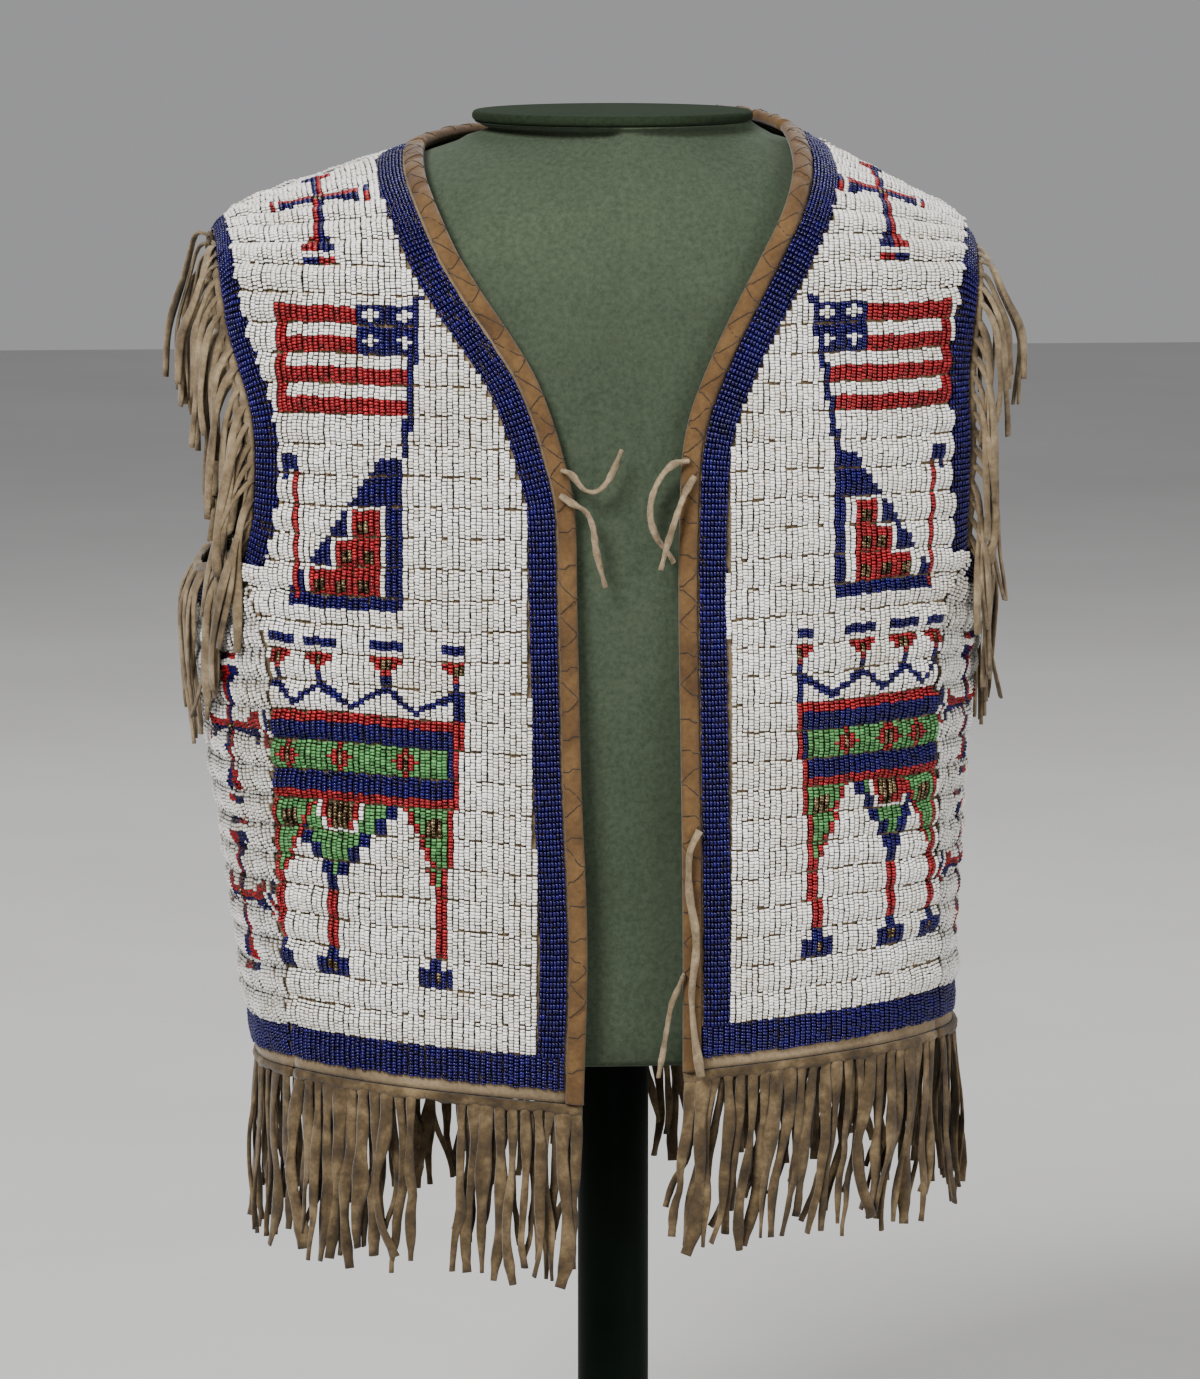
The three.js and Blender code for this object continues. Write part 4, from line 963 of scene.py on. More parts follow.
def back_half(side, up):
    """A row of the back's half from its middle out to the side seam or the armhole."""
    if up > ARM_FLOOR_UP:
        x = side * np.linspace(0, 166, 160)
        return cloth_point(x, up + waver(x, up), BACK)
    round_the_side, corner = side_points(side, up)
    x = np.linspace(0, corner, 110)
    flat = cloth_point(x, up + waver(x, up), BACK)
    drop = (flat[-1] - round_the_side[-1]) * np.linspace(0, 1, len(round_the_side))[:, None]
    return np.vstack([flat[:-1], settle(round_the_side + drop)[::-1]])


floors = {side: side_points(side, ARM_FLOOR_UP)[0] for side in (RIGHT, LEFT)}


def neck_edge():
    """The edge of the back's neck, from the right shoulder seam down and up to the left one."""
    halves = []
    for side in (RIGHT, LEFT):
        name = SIDE_NAMES[side]
        up = np.concatenate([[NECK_BOTTOM_UP], np.linspace(351, 404, 90)])
        x = look(BACK_NECK, "up", up, name)
        top = ridge_up(x, BACK) - EDGE_BELOW_SEAM
        halves.append(cloth_point(x[up < top], up[up < top], BACK))
    return np.vstack([halves[0][::-1], halves[1]])


neck = neck_edge()


def near_edge(points, edge, distance):
    """Which points lie nearer to an edge than a distance."""
    low, high = edge.min(axis=0) - distance, edge.max(axis=0) + distance
    near = np.nonzero(((points > low) & (points < high)).all(axis=1))[0]
    close = np.zeros(len(points), bool)
    for start in range(0, len(near), 1000):
        part = near[start:start + 1000]
        gap = np.linalg.norm(points[part][:, None] - edge[None], axis=2).min(axis=1)
        close[part] = gap < distance
    return close


# %% Beads of the back
def back_glass(s, counted, seam_at):
    """Two crosses on each side, one over the other, near the side seam."""
    glass = np.full(len(s), WHITE)
    for middle_up in (132.0, 66.0):
        cross_chart(glass, s, counted, seam_at - 22.0, (middle_up - HEM_TOP) / BEAD)
    return glass


back_groups = {"hem": [], "lower": [], "upper": []}
columns = (np.arange(0, 130) + 0.5) * COLUMN
seam_reach = {}
for lane, row, up in row_heights():
    for side in (RIGHT, LEFT):
        name = SIDE_NAMES[side]
        points = back_half(side, up)
        s = walked_length(points)
        high = s[-1] - 0.25
        if up > ARM_FLOOR_UP:
            reach = np.abs(points[:, 0])
            arm = side * float(look(ARMHOLE, "up", up, name))
            high = np.interp(arm, reach, s) - ARM_BORDER * float(slant(ARMHOLE, up, name))
        else:
            seam_reach[side] = s[-1]
        at = columns[columns + COLUMN / 2 < high + 1.1]
        place_on = along_row(points, s, at)
        if up > CHEST_UP:
            top = ridge_up(place_on[:, 0], BACK)
            keep = up < top - BEADS_BELOW_SEAM
            at, place_on = at[keep], place_on[keep]
        if up > 345:
            edge_x = side * float(look(BACK_NECK, "up", max(up, 350), name))
            outside = (np.abs(place_on[:, 0]) > edge_x) | (up < NECK_BOTTOM_UP)
            at, place_on = at[outside], place_on[outside]
        if not len(at):
            continue
        across = (along_row(points, s, at + 0.5) - along_row(points, s, at - 0.5)) * side
        if lane == 0:
            glass = np.full(len(at), COBALT)
            puff, slope = hem_roll(row)
            part = "hem"
        else:
            counted = np.full(len(at), (lane - 1) * STRING_BEADS + row, float)
            glass = back_glass(at, counted, seam_reach[side])
            full = plump(at + 31 * side, lane, place_on[:, 0])
            puff, slope = roll(row)
            puff, slope = puff * full, slope * full
            part = "lower" if lane <= 16 else "upper"
        made = bead_frames(place_on, across, glass, puff, slope)
        back_groups[part].append(loosened(made, at + 61 * side * COLUMN, lane))
back_groups = {key: merged(value) for key, value in back_groups.items()}

borders = []
for side in (RIGHT, LEFT):
    arm = armhole_edge(side, BACK)
    centre = np.column_stack([np.full(len(arm), side * 90.0), arm[:, 1] + 30, arm[:, 2]])
    floor = floors[side]
    borders.append(border_beads(arm, inward_ways(arm, centre)))
    borders.append(border_beads(floor, np.tile([0.0, 0, -1], (len(floor), 1))))
below = neck + np.array([0, 20.0, -30.0]) + np.sign(neck[:, :1]) * np.array([20.0, 0, 0])
borders.append(border_beads(neck, inward_ways(neck, below)))
back_groups["borders"] = merged(borders)
for key in ("lower", "upper"):
    beads = back_groups[key]
    drop = near_edge(beads["foot"], back_groups["borders"]["foot"], 1.35)
    inside_neck = near_edge(beads["foot"], neck[::3], ARM_BORDER - 1)
    back_groups[key] = chosen(beads, ~(drop | inside_neck))
print("back:", {key: len(value["top"]) for key, value in back_groups.items()})

# %% [markdown]
# Under the beads is the hide, a soft sheet that shows only along the hem and between the strings. Under the
# beads it takes a darker finish: the dark of the thread, and painted shade between the beads. Each panel's
# sheet is a grid laid on the surface's formula, given its thickness by a Solidify modifier.

# %% Hide panels
HIDE_THICKNESS = 1.9
HIDE_DEPTH = 1.0


def hide_sheet(name, rows):
    """A sheet of hide through rows of surface points; Solidify gives the thickness inwards."""
    count = len(rows)
    across = len(rows[0])
    verts = np.vstack([row - normal_at(row) * HIDE_DEPTH for row in rows])
    faces = []
    for k in range(count - 1):
        for j in range(across - 1):
            a = k * across + j
            faces.append((a, a + 1, a + across + 1, a + across))
    centre = verts[[f[0] for f in faces]]
    ahead = verts[[f[1] for f in faces]] - centre
    upward = verts[[f[3] for f in faces]] - centre
    facing = (np.cross(ahead, upward) * normal_at(centre)).sum()
    if facing < 0:
        faces = [f[::-1] for f in faces]
    piece = mesh_piece(name, verts, faces)
    bpy.ops.object.select_all(action="DESELECT")
    bpy.context.view_layer.objects.active = piece
    piece.select_set(True)
    solid = piece.modifiers.new("thickness", "SOLIDIFY")
    solid.thickness = HIDE_THICKNESS * MM
    solid.offset = -1
    bpy.ops.object.modifier_apply(modifier=solid.name)
    lengths = np.linalg.norm(np.cross(ahead, upward), axis=1)
    widest = max(float(walked_length(row)[-1]) for row in rows)
    ways_up = np.array(rows).transpose(1, 0, 2)
    longest = max(float(walked_length(way)[-1]) for way in ways_up)
    print(name, "widest row", round(widest), "mm, longest way up", round(longest), "mm")
    centres = np.zeros(len(piece.data.polygons) * 3)
    piece.data.polygons.foreach_get("center", centres)
    centres = centres.reshape(-1, 3) / MM
    face = BACK if name.startswith("back") else FRONT
    lift = np.interp(centres[:, 0], *HEM_LIFT[face])
    # Faces under the beads take the second, darker finish: thread and painted shade between the beads.
    under = centres[:, 2] > HEM_Z + lift * 0.95 + BARE_EDGE + 0.6
    piece.data.polygons.foreach_set("material_index", under.astype(np.int32))
    return piece, float(lengths.sum()) * MM * MM


def front_sheet_rows(side):
    """Rows of a front's hide from the binding to the side seam or the armhole."""
    name = SIDE_NAMES[side]
    rows = []
    for up in np.concatenate([[0, 2, 4, 5.2], np.linspace(8, 403, 106)]):
        start = float(look(OPENING, "up", up, name))
        start += side * (BINDING - 1.2) * float(slant(OPENING, up, name))
        if up < ARM_FLOOR_UP:
            end = float(look(SIDE_SEAM, "up", up, name)) - side * SEAM
        else:
            end = float(look(ARMHOLE, "up", up, name)) - side * 0.3
        x = np.linspace(start, end, 40)
        top = ridge_up(x, FRONT) - HIDE_BELOW_SEAM
        rows.append(cloth_point(x, np.minimum(up, top), FRONT))
    return rows


def back_sheet_rows():
    """Rows of the back's hide, below the neck's bottom in one piece."""
    rows = []
    for up in np.concatenate([[0, 2, 4, 5.2], np.linspace(8, 350, 76)]):
        halves = []
        for side in (RIGHT, LEFT):
            points = back_half(side, up)
            if up > ARM_FLOOR_UP:
                arm = side * float(look(ARMHOLE, "up", up, SIDE_NAMES[side])) - 0.3
                x = side * np.linspace(0, arm, 60)
                top = ridge_up(x, BACK) - HIDE_BELOW_SEAM
                points = cloth_point(x, np.minimum(up, top), BACK)
            walked = walked_length(points)
            halves.append(along_row(points, walked, np.linspace(0, walked[-1], 46)))
        rows.append(np.vstack([halves[0][::-1], halves[1][1:]]))
    return rows


def back_shoulder_rows(side):
    """Rows of the back's hide beside the neck, up to the shoulder seam."""
    rows = []
    name = SIDE_NAMES[side]
    for up in np.linspace(350, 403, 22):
        start = float(look(BACK_NECK, "up", up, name))
        arm = float(look(ARMHOLE, "up", up, name)) - side * 0.3
        x = np.linspace(start, arm, 40)
        top = ridge_up(x, BACK) - HIDE_BELOW_SEAM
        rows.append(cloth_point(x, np.minimum(up, top), BACK))
    return rows


hides, hide_areas = {}, {}
for side in (RIGHT, LEFT):
    name = SIDE_NAMES[side] + "_front"
    hides[name], hide_areas[name] = hide_sheet(name + "_hide", front_sheet_rows(side))
hides["back"], hide_areas["back"] = hide_sheet("back_hide", back_sheet_rows())
shoulders = []
for side in (RIGHT, LEFT):
    piece, area = hide_sheet("back_shoulder_" + SIDE_NAMES[side], back_shoulder_rows(side))
    shoulders.append(piece)
    hide_areas["back"] += area
bpy.ops.object.select_all(action="DESELECT")
for piece in shoulders + [hides["back"]]:
    piece.select_set(True)
bpy.context.view_layer.objects.active = hides["back"]
bpy.ops.object.join()
print("areas of hide, in square metres:", {key: round(value, 4) for key, value in hide_areas.items()})

# %% Bead meshes
bead_pieces = {}


def add_beads(name, beads, shape, panel):
    """Glass beads of one part of a panel, with the faceted metal ones apart."""
    plain = chosen(beads, beads["glass"] != GOLD)
    piece = bead_piece(name, plain, shape)
    bead_pieces[piece] = (panel, "glass")
    metal = chosen(beads, beads["glass"] == GOLD)
    if len(metal["top"]):
        faceted = bead_piece(name + "_faceted", metal, FACETED, smooth=False)
        bead_pieces[faceted] = (panel, "metal")


for side in (RIGHT, LEFT):
    panel = SIDE_NAMES[side] + "_front"
    lower = front_groups[side]["field"]["top"][:, 2] < 360
    add_beads(panel + "_field_lower", chosen(front_groups[side]["field"], lower), PILLOW, panel)
    add_beads(panel + "_field_upper", chosen(front_groups[side]["field"], ~lower), PILLOW, panel)
    add_beads(panel + "_hem_beads", front_groups[side]["hem"], PILLOW, panel)
    add_beads(panel + "_border_beads", front_borders[side], PILLOW, panel)
for key, beads in back_groups.items():
    shape = PILLOW if key in ("borders", "hem") else ROOF
    add_beads("back_" + key + "_beads", beads, shape, "back")
total = sum(len(p.data.polygons) for p in bead_pieces)
print(len(bead_pieces), "bead pieces with", total, "faces")

# %% [markdown]
# The opening is bound with a folded strip of soft tan hide, whipped down with dark thread. The strip is a
# loft of rounded sections along the edge, with small puckers where the thread pulls it in.

# %% Folded hide bindings
FOLD = (
    (0.5, -2.7), (0.05, -1.7), (0.0, -0.5), (0.45, 0.6), (1.5, 1.3), (3.0, 1.65),
    (4.7, 1.6), (6.0, 1.2), (6.7, 0.5), (6.8, -1.2), (6.75, -3.0), (2.4, -3.3),
)
STITCH_STEP = 12.5


def pucker(at, into):
    """How far the thread pulls the fold down at a place along it."""
    phase = ((at + into * 0.9) / STITCH_STEP) % 1.0
    dip = math.exp(-((min(phase, 1 - phase) * STITCH_STEP / 1.1) ** 2))
    wrinkle = 0.2 * math.sin(at * 0.8 + into) + 0.14 * math.sin(at * 1.9 - into * 1.3)
    return -0.5 * dip + wrinkle + 0.22 * math.sin(at * 0.13 + 0.4 * into) * math.sin(at * 0.41)


def off_seam(points, face):
    """Keeps the two sides of the shoulder seam apart."""
    points = np.array(points)
    points[..., 1] = face * np.maximum(face * points[..., 1], face * RIDGE_Y + SEAM / 2)
    return points


def front_fold(side):
    """Sections of a front's binding, and their distances up the cloth."""
    name = SIDE_NAMES[side]
    ups = np.arange(0, 404.5, 1.5)
    sections = []
    for up in ups:
        wide = float(slant(OPENING, up, name))
        open_x = float(look(OPENING, "up", up, name))
        x = open_x + side * np.array([s[0] for s in FOLD]) * wide
        top = ridge_up(x, FRONT)
        points = cloth_point(x, np.minimum(up, top), FRONT)
        lift = np.array([s[1] + (pucker(up, s[0]) if s[1] > 0.3 else 0) for s in FOLD])
        sections.append(off_seam(points + normal_at(points) * lift[:, None], FRONT))
    return np.array(sections), ups


def back_fold():
    """Sections of the binding round the back's neck, and their distances along its edge."""
    edge = neck_edge()
    walked = walked_length(edge)
    at = np.linspace(0, walked[-1], int(walked[-1] / 1.6))
    edge = along_row(edge, walked, at)
    centre = np.array([-3.0, RIDGE_Y, 600.0])
    off = inward_ways(edge, np.broadcast_to(centre, edge.shape))
    for _ in range(12):
        off[1:-1] = unit(off[:-2] + off[1:-1] * 2 + off[2:])
    normal = normal_at(edge)
    sections = []
    for k in range(len(edge)):
        ring = []
        for into, out in FOLD:
            away = BINDING - into + NECK_CLEARANCE
            lift = out + (pucker(at[k], into) if out > 0.3 else 0)
            ring.append(edge[k] + off[k] * away + normal[k] * lift)
        sections.append(off_seam(np.array(ring), BACK))
    return np.array(sections), at


binding_pieces = {}
threads = []
folds = {
    "right_front_binding": front_fold(RIGHT),
    "left_front_binding": front_fold(LEFT),
    "back_neck_binding": back_fold(),
}
for name, (sections, at) in folds.items():
    verts, faces = loft(sections)
    piece = mesh_piece(name + "_fold", verts, faces)
    binding_pieces[name] = piece
    stitches = []
    outer = sections[:, 2:9]
    middle = sections.mean(axis=1)
    for n, start in enumerate(np.arange(STITCH_STEP, at[-1] - 8, STITCH_STEP)):
        crossed = (0.9, -0.7 - 0.4 * float(noise(n, 21)))
        for lean in crossed if start > 215 or noise(n, 23) > 0.6 else (0.25,):
            path = []
            for j in range(7):
                into = FOLD[2 + j][0]
                place = start - into * lean + 1.2 * float(noise(n, 22))
                k = int(np.clip(np.searchsorted(at, place), 0, len(at) - 1))
                point = outer[k, j]
                path.append(point + unit(point - middle[k]) * 0.05)
            stitches.append(ribbon(path, [0.42] * 7, 0.34, (0.0, 0.0, 1.0), around=5))
    verts, faces = join_lofts(stitches)
    threads.append((name, mesh_piece(name + "_thread", verts, faces)))
print(len(folds), "bindings,", len(threads), "thread pieces")

# %% [markdown]
# The fringe is cut from strips of the same hide. Each strand is a soft ribbon of its own width, which bends,
# twists and thins in its own way, and a narrow folded strip holds the roots.

# %% Hem fringe
def soft_strand(root, out, across, long, swing, forward, i, width):
    """A hanging ribbon from its root, with its own bends and twist."""
    share = np.linspace(0, 1, 19)
    bend = math.sin(i * 2.399) * 3.4 * np.sin(math.pi * share * (0.9 + 0.7 * noise(i, 9)))
    curl = (noise(i, 11) - 0.5) * 5.0 * np.sin(2 * math.pi * share * (0.8 + 0.7 * noise(i, 12)))
    kink = (noise(i, 16) - 0.5) * 3.2 * np.exp(-((share - 0.35 - 0.5 * noise(i, 17)) / 0.09) ** 2)
    sideways = swing * share ** 1.4 + (bend + curl) * share ** 0.5 * (noise(i, 13) * 0.8 + 0.35) + kink
    outward = forward * np.minimum(1, share * 2.4) + 1.9 * np.sin(share * 6 + i) * share
    drop = 1.0 + (long - 1.0) * share
    path = root + across * sideways[:, None] + out * outward[:, None] - np.outer(drop, (0, 0, 1))
    swell = 1 + 0.2 * np.sin(share * 7 + i * 1.7) + 0.13 * np.sin(share * 17 + i)
    swell *= np.where(share > 0.93, 0.8, 1)
    swell[0] = 1.15
    twist = (noise(i, 14) - 0.5) * 2.4 * share + 0.5 * np.sin(share * 6 + i * 0.7) * share
    turned = across * np.cos(twist)[:, None] + out * np.sin(twist)[:, None]
    return ribbon(path, width * swell, 1.35 * (0.9 + 0.5 * noise(i, 15)), turned, around=8)


def strip(points, normal, down, outer=0.1, inner=-2.6, low=0.4, high=4.0):
    """The narrow folded strip that holds the roots."""
    sections = []
    for k in range(len(points)):
        wave = 0.45 * math.sin(k * 0.9) + 0.4 * math.sin(k * 2.3)
        ring = [
            (low, inner),
            (low, outer - 0.3),
            (low + 0.6, outer),
            ((low + high) / 2, outer + 0.35 + wave * 0.4),
            (high - 0.7 + wave, outer),
            (high + wave, outer - 0.6),
            (high + wave, inner),
        ]
        sections.append([points[k] + down[k] * a + normal[k] * b for a, b in ring])
    return loft(sections)


def front_hem_points(side):
    """The hem's edge of a front, from the opening to the side seam."""
    name = SIDE_NAMES[side]
    start = float(look(OPENING, "up", 0, name)) + side * 0.5
    end = float(look(SIDE_SEAM, "up", 0, name)) - side * 0.6
    x = np.linspace(start, end, 300)
    return cloth_point(x, np.zeros(300), FRONT)


def back_hem_points():
    """The hem's edge of the back, from one side seam round to the other."""
    halves = []
    for side in (RIGHT, LEFT):
        seam = float(look(SIDE_SEAM, "up", 0, SIDE_NAMES[side])) + side * 0.6
        way = np.linspace(way_at(side, seam, HEM_Z, FRONT), 2, 260)
        points = round_point(side, way, HEM_Z)
        points[:, 2] += np.interp(points[:, 0], *HEM_LIFT[BACK])
        halves.append(points)
    return np.vstack([halves[0], halves[1][::-1][1:]])


def hem_fringe(name, edge, count, lean, bare=()):
    """Strands hanging from a strip along a hem."""
    walked = walked_length(edge)
    at = np.linspace(0, walked[-1], max(24, int(walked[-1] / 3)))
    points = along_row(edge, walked, at)
    normal = normal_at(points)
    down = np.tile([0.0, 0, -1], (len(points), 1))
    parts = [strip(points, normal, down)]
    roots = along_row(edge, walked, walked[-1] * (np.arange(count) + 0.5) / count)
    print(name, "strip:", round(float(walked[-1])), "mm")
    for i, p in enumerate(roots):
        if i in bare:
            continue
        n = normal_at(p[None])[0]
        flat = unit(np.array([n[0], n[1], 0]))
        across = np.array([-flat[1], flat[0], 0])
        long = 61 + 12 * float(noise(i, 1))
        swing = lean + 1.6 * math.sin(i * 0.55) + 1.1 * (float(noise(i, 2)) - 0.5)
        forward = (1.5 if i % 2 else -0.4) + 1.2 * float(noise(i, 3))
        root = p + flat * -1.0 - np.array([0, 0, 1.3])
        width = 3.3 + 1.9 * float(noise(i, 8))
        parts.append(soft_strand(root, flat, across, long - 1.8, swing, forward, i, width))
        if i + 1 in bare or i + 1 == count:
            continue
        beside = root + across * 2.6 * np.sign(across @ (roots[i + 1] - p)) - flat * 1.5
        spare = 0.72 + 0.22 * float(noise(i, 31))
        parts.append(soft_strand(beside, flat, across, long * spare, swing - 2, -1.6, i + 0.37, width * 0.8))
    verts, faces = join_lofts(parts)
    return mesh_piece(name + "_strands", verts, faces)


HEM_FRINGES = {
    "hem_fringe_right_front": (front_hem_points(RIGHT), 24, -1.5, (10, 11, 12)),
    "hem_fringe_left_front": (front_hem_points(LEFT), 23, -7),
    "hem_fringe_back": (back_hem_points(), 60, 0),
}
fringe_pieces = {name: hem_fringe(name, *cut) for name, cut in HEM_FRINGES.items()}

# %% Armhole fringe
ARM_STRIP = 3.0
ARM_GAP = 1.15


def clear_of(points, clearance):
    """Keeps points clear of the cloth by a distance."""
    on = settle(points)
    normal = normal_at(on)
    out = ((points - on) * normal).sum(axis=-1, keepdims=True)
    return on + normal * np.maximum(clearance, out)


def arm_frames(side):
    """The armhole's edge from the front shoulder round the floor and up the back, and the ways off it."""
    name = SIDE_NAMES[side]
    front = armhole_edge(side, FRONT)
    back = armhole_edge(side, BACK)
    top = {}
    for key, edge, face in (("front", front, FRONT), ("back", back, BACK)):
        ups = np.linspace(ARM_FLOOR_UP, CAD_LANE * 28 + 17, 90)
        x = look(ARMHOLE, "up", ups, name)
        top[key] = cloth_point(x, ups, face)
    floor = floors[side]
    edge = np.vstack([top["front"][::-1], floor[3:-3:3], top["back"]])
    normal = normal_at(edge)
    round_way = unit(np.column_stack([-normal[:, 1] * side, normal[:, 0] * side, np.zeros(len(edge))]))
    count = len(top["front"])
    off = np.array(round_way)
    off[count:-count] = (0, 0, 1)
    off[-count:] *= -1
    for _ in range(8):
        off[1:-1] = unit(off[:-2] + off[1:-1] * 2 + off[2:])
    return edge, off


def armhole_fringe(side, count):
    """Strands of an armhole, held off the cloth in three layers."""
    edge, off = arm_frames(side)
    walked = walked_length(edge)
    at = np.linspace(0, walked[-1], int(walked[-1] / 2.6))
    points, ways = along_row(edge, walked, at), unit(along_row(off, walked, at))
    parts = [strip(points, normal_at(points), ways, 0.0, -2.6, ARM_GAP, ARM_GAP + ARM_STRIP)]
    print("armhole strip:", round(float(walked[-1])), "mm")
    count *= 2
    place = walked[-1] * (np.arange(count) + 0.5) / count
    roots = along_row(edge, walked, place) + unit(along_row(off, walked, place)) * (ARM_GAP + ARM_STRIP / 2)
    for i, p in enumerate(roots):
        share = i / (count - 1)
        n = normal_at(p[None])[0]
        round_way = unit(np.array([-n[1] * side, n[0] * side, 0]))
        on_front = share < 0.5
        on_floor = 0.42 < share < 0.72
        calm = 0.4 if p[2] > 466 else 1.0
        if on_floor:
            fan = 2.5 * (float(noise(i, 5)) - 0.5)
        else:
            fan = calm * (5 + 4.2 * (i % 5) + 2 * float(noise(i, 5)))
        sideways = fan if on_front or on_floor else -fan * 0.7
        layer = 3.6 + 1.7 * (i % 3)
        long = 44 + 16 * float(noise(i, 6)) + (8 if on_floor else 0)
        root = p + n * -1.45
        t = np.linspace(0, 1, 16)
        wave = np.sin(t * math.pi * 1.6 + i * 2.1) * 2.4 * t
        path = p + round_way * (sideways * t ** 0.8 + wave)[:, None]
        path = path - np.outer(long * t, (0, 0, 1))
        off_cloth = 1.0 + (layer - 1.0) * np.clip(t / 0.22, 0, 1) ** 0.7
        path = clear_of(path, (off_cloth + 0.9 * np.sin(t * 5 + i) * t)[:, None])
        path = np.vstack([root, path])
        for _ in range(6):
            path[1:-1] = (path[:-2] + path[1:-1] * 2 + path[2:]) / 4
        share_out = np.linspace(0, 1, len(path))
        widths = (3.3 + 1.3 * float(noise(i, 8))) * (1 + 0.18 * np.sin(share_out * 9 + i))
        widths[-1] *= 0.85
        twist = (float(noise(i, 14)) - 0.5) * 1.6 * share_out
        across = round_way * np.cos(twist)[:, None] + n * np.sin(twist)[:, None]
        parts.append(ribbon(path, widths, 1.5, across, around=8))
    verts, faces = join_lofts(parts)
    name = "armhole_fringe_" + SIDE_NAMES[side]
    return mesh_piece(name + "_strands", verts, faces)


for side in (RIGHT, LEFT):
    fringe_pieces["armhole_fringe_" + SIDE_NAMES[side]] = armhole_fringe(side, 27)
print(len(fringe_pieces), "fringes")

# %% [markdown]
# The vest rests on a limbless dress form covered in green suede. It ends in a flat neck with a round plate,
# and stands on a post in a round base. The form is a closed loft of level rings, finer than the CAD's.

# %% Dress form
FORM_POWER = 2.5
FORM_SHOULDER = 2.05
UNDER_CLOTH = 4.3
FORM_TOP = 562.7
FORM_TURNS = 96
FORM_NECK = 52
FORM_SECTIONS = {
    "z": (213, 260, 310, 360, 410, 450, 492.5),
    "right": (108, 110, 114, 120, 125, 127, 127),
    "left": (108, 108, 110, 115, 121, 124, 125),
    "front": (70, 73, 76, 80, 82, 82, 80.5),
    "back": (66, 69, 73, 78, 81, 82, 82),
}


def form_ridge(x):
    """Height of the form's shoulder over x."""
    x = np.asarray(x, float)
    out = np.abs(x)
    flare = (70 - out) * 0.3 + np.minimum(np.maximum(0, 58 - out) * 0.6, 1.2)
    near = ridge(np.where(x < 0, -70.0, 70.0)) - UNDER_CLOTH + flare
    return np.where(out >= 70, ridge(x) - UNDER_CLOTH, near)


def form_y(x, z, face):
    """Depth of the form's surface."""
    chest = min(z, CHEST_Z)
    reach = look(FORM_SECTIONS, "z", chest, "right" if x < 0 else "left")
    deep = look(FORM_SECTIONS, "z", chest, FACE_NAMES[face])
    part = min(1.0, abs(x) / float(reach))
    flat = float(deep) * (1 - part ** FORM_POWER) ** (1 / FORM_POWER)
    if z <= CHEST_Z:
        return face * flat
    middle = RIDGE_Y * (1 - part ** 4)
    upward = min(1.0, (z - CHEST_Z) / float(form_ridge(x) - CHEST_Z))
    inward = (1 - upward ** FORM_SHOULDER) ** (1 / FORM_SHOULDER)
    return middle + (face * flat - middle) * inward


def form_width(side, z):
    """Half width of the form at a height."""
    far = float(look(FORM_SECTIONS, "z", min(z, CHEST_Z), SIDE_NAMES[side]))
    if z <= CHEST_Z or float(form_ridge(side * far)) >= z:
        return far
    reach = np.linspace(0, far, 2000)
    return float(reach[form_ridge(side * reach) >= z].max())


def form_ring(z):
    """A level ring of the form."""
    width = {side: form_width(side, z) for side in (RIGHT, LEFT)}
    ring = []
    for i in range(FORM_TURNS):
        angle = i / FORM_TURNS * 2 * math.pi
        side = RIGHT if math.sin(angle) < 0 else LEFT
        face = FRONT if math.cos(angle) > 0 else BACK
        x = side * width[side] * abs(math.sin(angle)) ** (2 / FORM_POWER)
        ring.append((x, form_y(x, z, face), z))
    return np.array(ring)


levels = np.concatenate([np.arange(216, 492, 12), np.arange(492, 540, 4), np.arange(540, 560.5, 2.5)])
rings = [form_ring(z) for z in levels]
first = form_ring(213.2)
floor_rings = [first * (0.965, 0.955, 1), first * (0.985, 0.98, 1) + (0, 0, 0.9)]
angles = np.arange(FORM_TURNS) / FORM_TURNS * 2 * math.pi
top_ring = np.column_stack([
    FORM_NECK * np.sin(angles), 3 - FORM_NECK * np.cos(angles), np.full(FORM_TURNS, FORM_TOP),
])
last = rings[-1]
between_rings = [last + (top_ring - last) * t for t in (0.35, 0.7)]
verts, faces = loft(floor_rings + rings + between_rings + [top_ring])
form = mesh_piece("suede_form", verts, faces)
print("the form has", len(faces), "faces")


# %% Plate, post and base
def turned_piece(name, radius, low, high, centre_y, round_over, segments=96):
    """A turned disc or post: a primitive cylinder with its rims rounded by a bevel."""
    bpy.ops.object.select_all(action="DESELECT")
    bpy.ops.mesh.primitive_cylinder_add(
        vertices=segments, radius=radius * MM, depth=(high - low) * MM,
        location=(0, centre_y * MM, (low + high) / 2 * MM),
    )
    piece = bpy.context.object
    piece.name = name
    bpy.ops.object.transform_apply(location=True, rotation=True, scale=True)
    rims = piece.modifiers.new("rims", "BEVEL")
    rims.width = round_over * MM
    rims.segments = 5
    rims.limit_method = "ANGLE"
    bpy.ops.object.modifier_apply(modifier=rims.name)
    bpy.ops.object.shade_smooth_by_angle(angle=math.radians(40))
    return piece


plate = turned_piece("suede_plate", radius=53, low=563.0, high=566.9, centre_y=3, round_over=1.7)
post = turned_piece(
    "painted_post", radius=13.5, low=12.3, high=212.7, centre_y=0, round_over=0.5, segments=64,
)
base = turned_piece("painted_base", radius=130, low=0, high=12, centre_y=0, round_over=3.5, segments=128)

# %% [markdown]
# Each finish is a small node tree. Glass takes its colour from each bead's own attribute, darkened a little
# by dirt, under a thin coat. Hide is soft and blotched, with a fine grain that stands up as bump.

# %% Finishes
def finish(name, roughness, specular=0.5):
    """A new material with its surface shader."""
    material = bpy.data.materials.new(name)
    material.use_nodes = True
    tree = material.node_tree
    surface = tree.nodes["Principled BSDF"]
    surface.inputs["Roughness"].default_value = roughness
    surface.inputs["Specular IOR Level"].default_value = specular
    return material, tree, surface


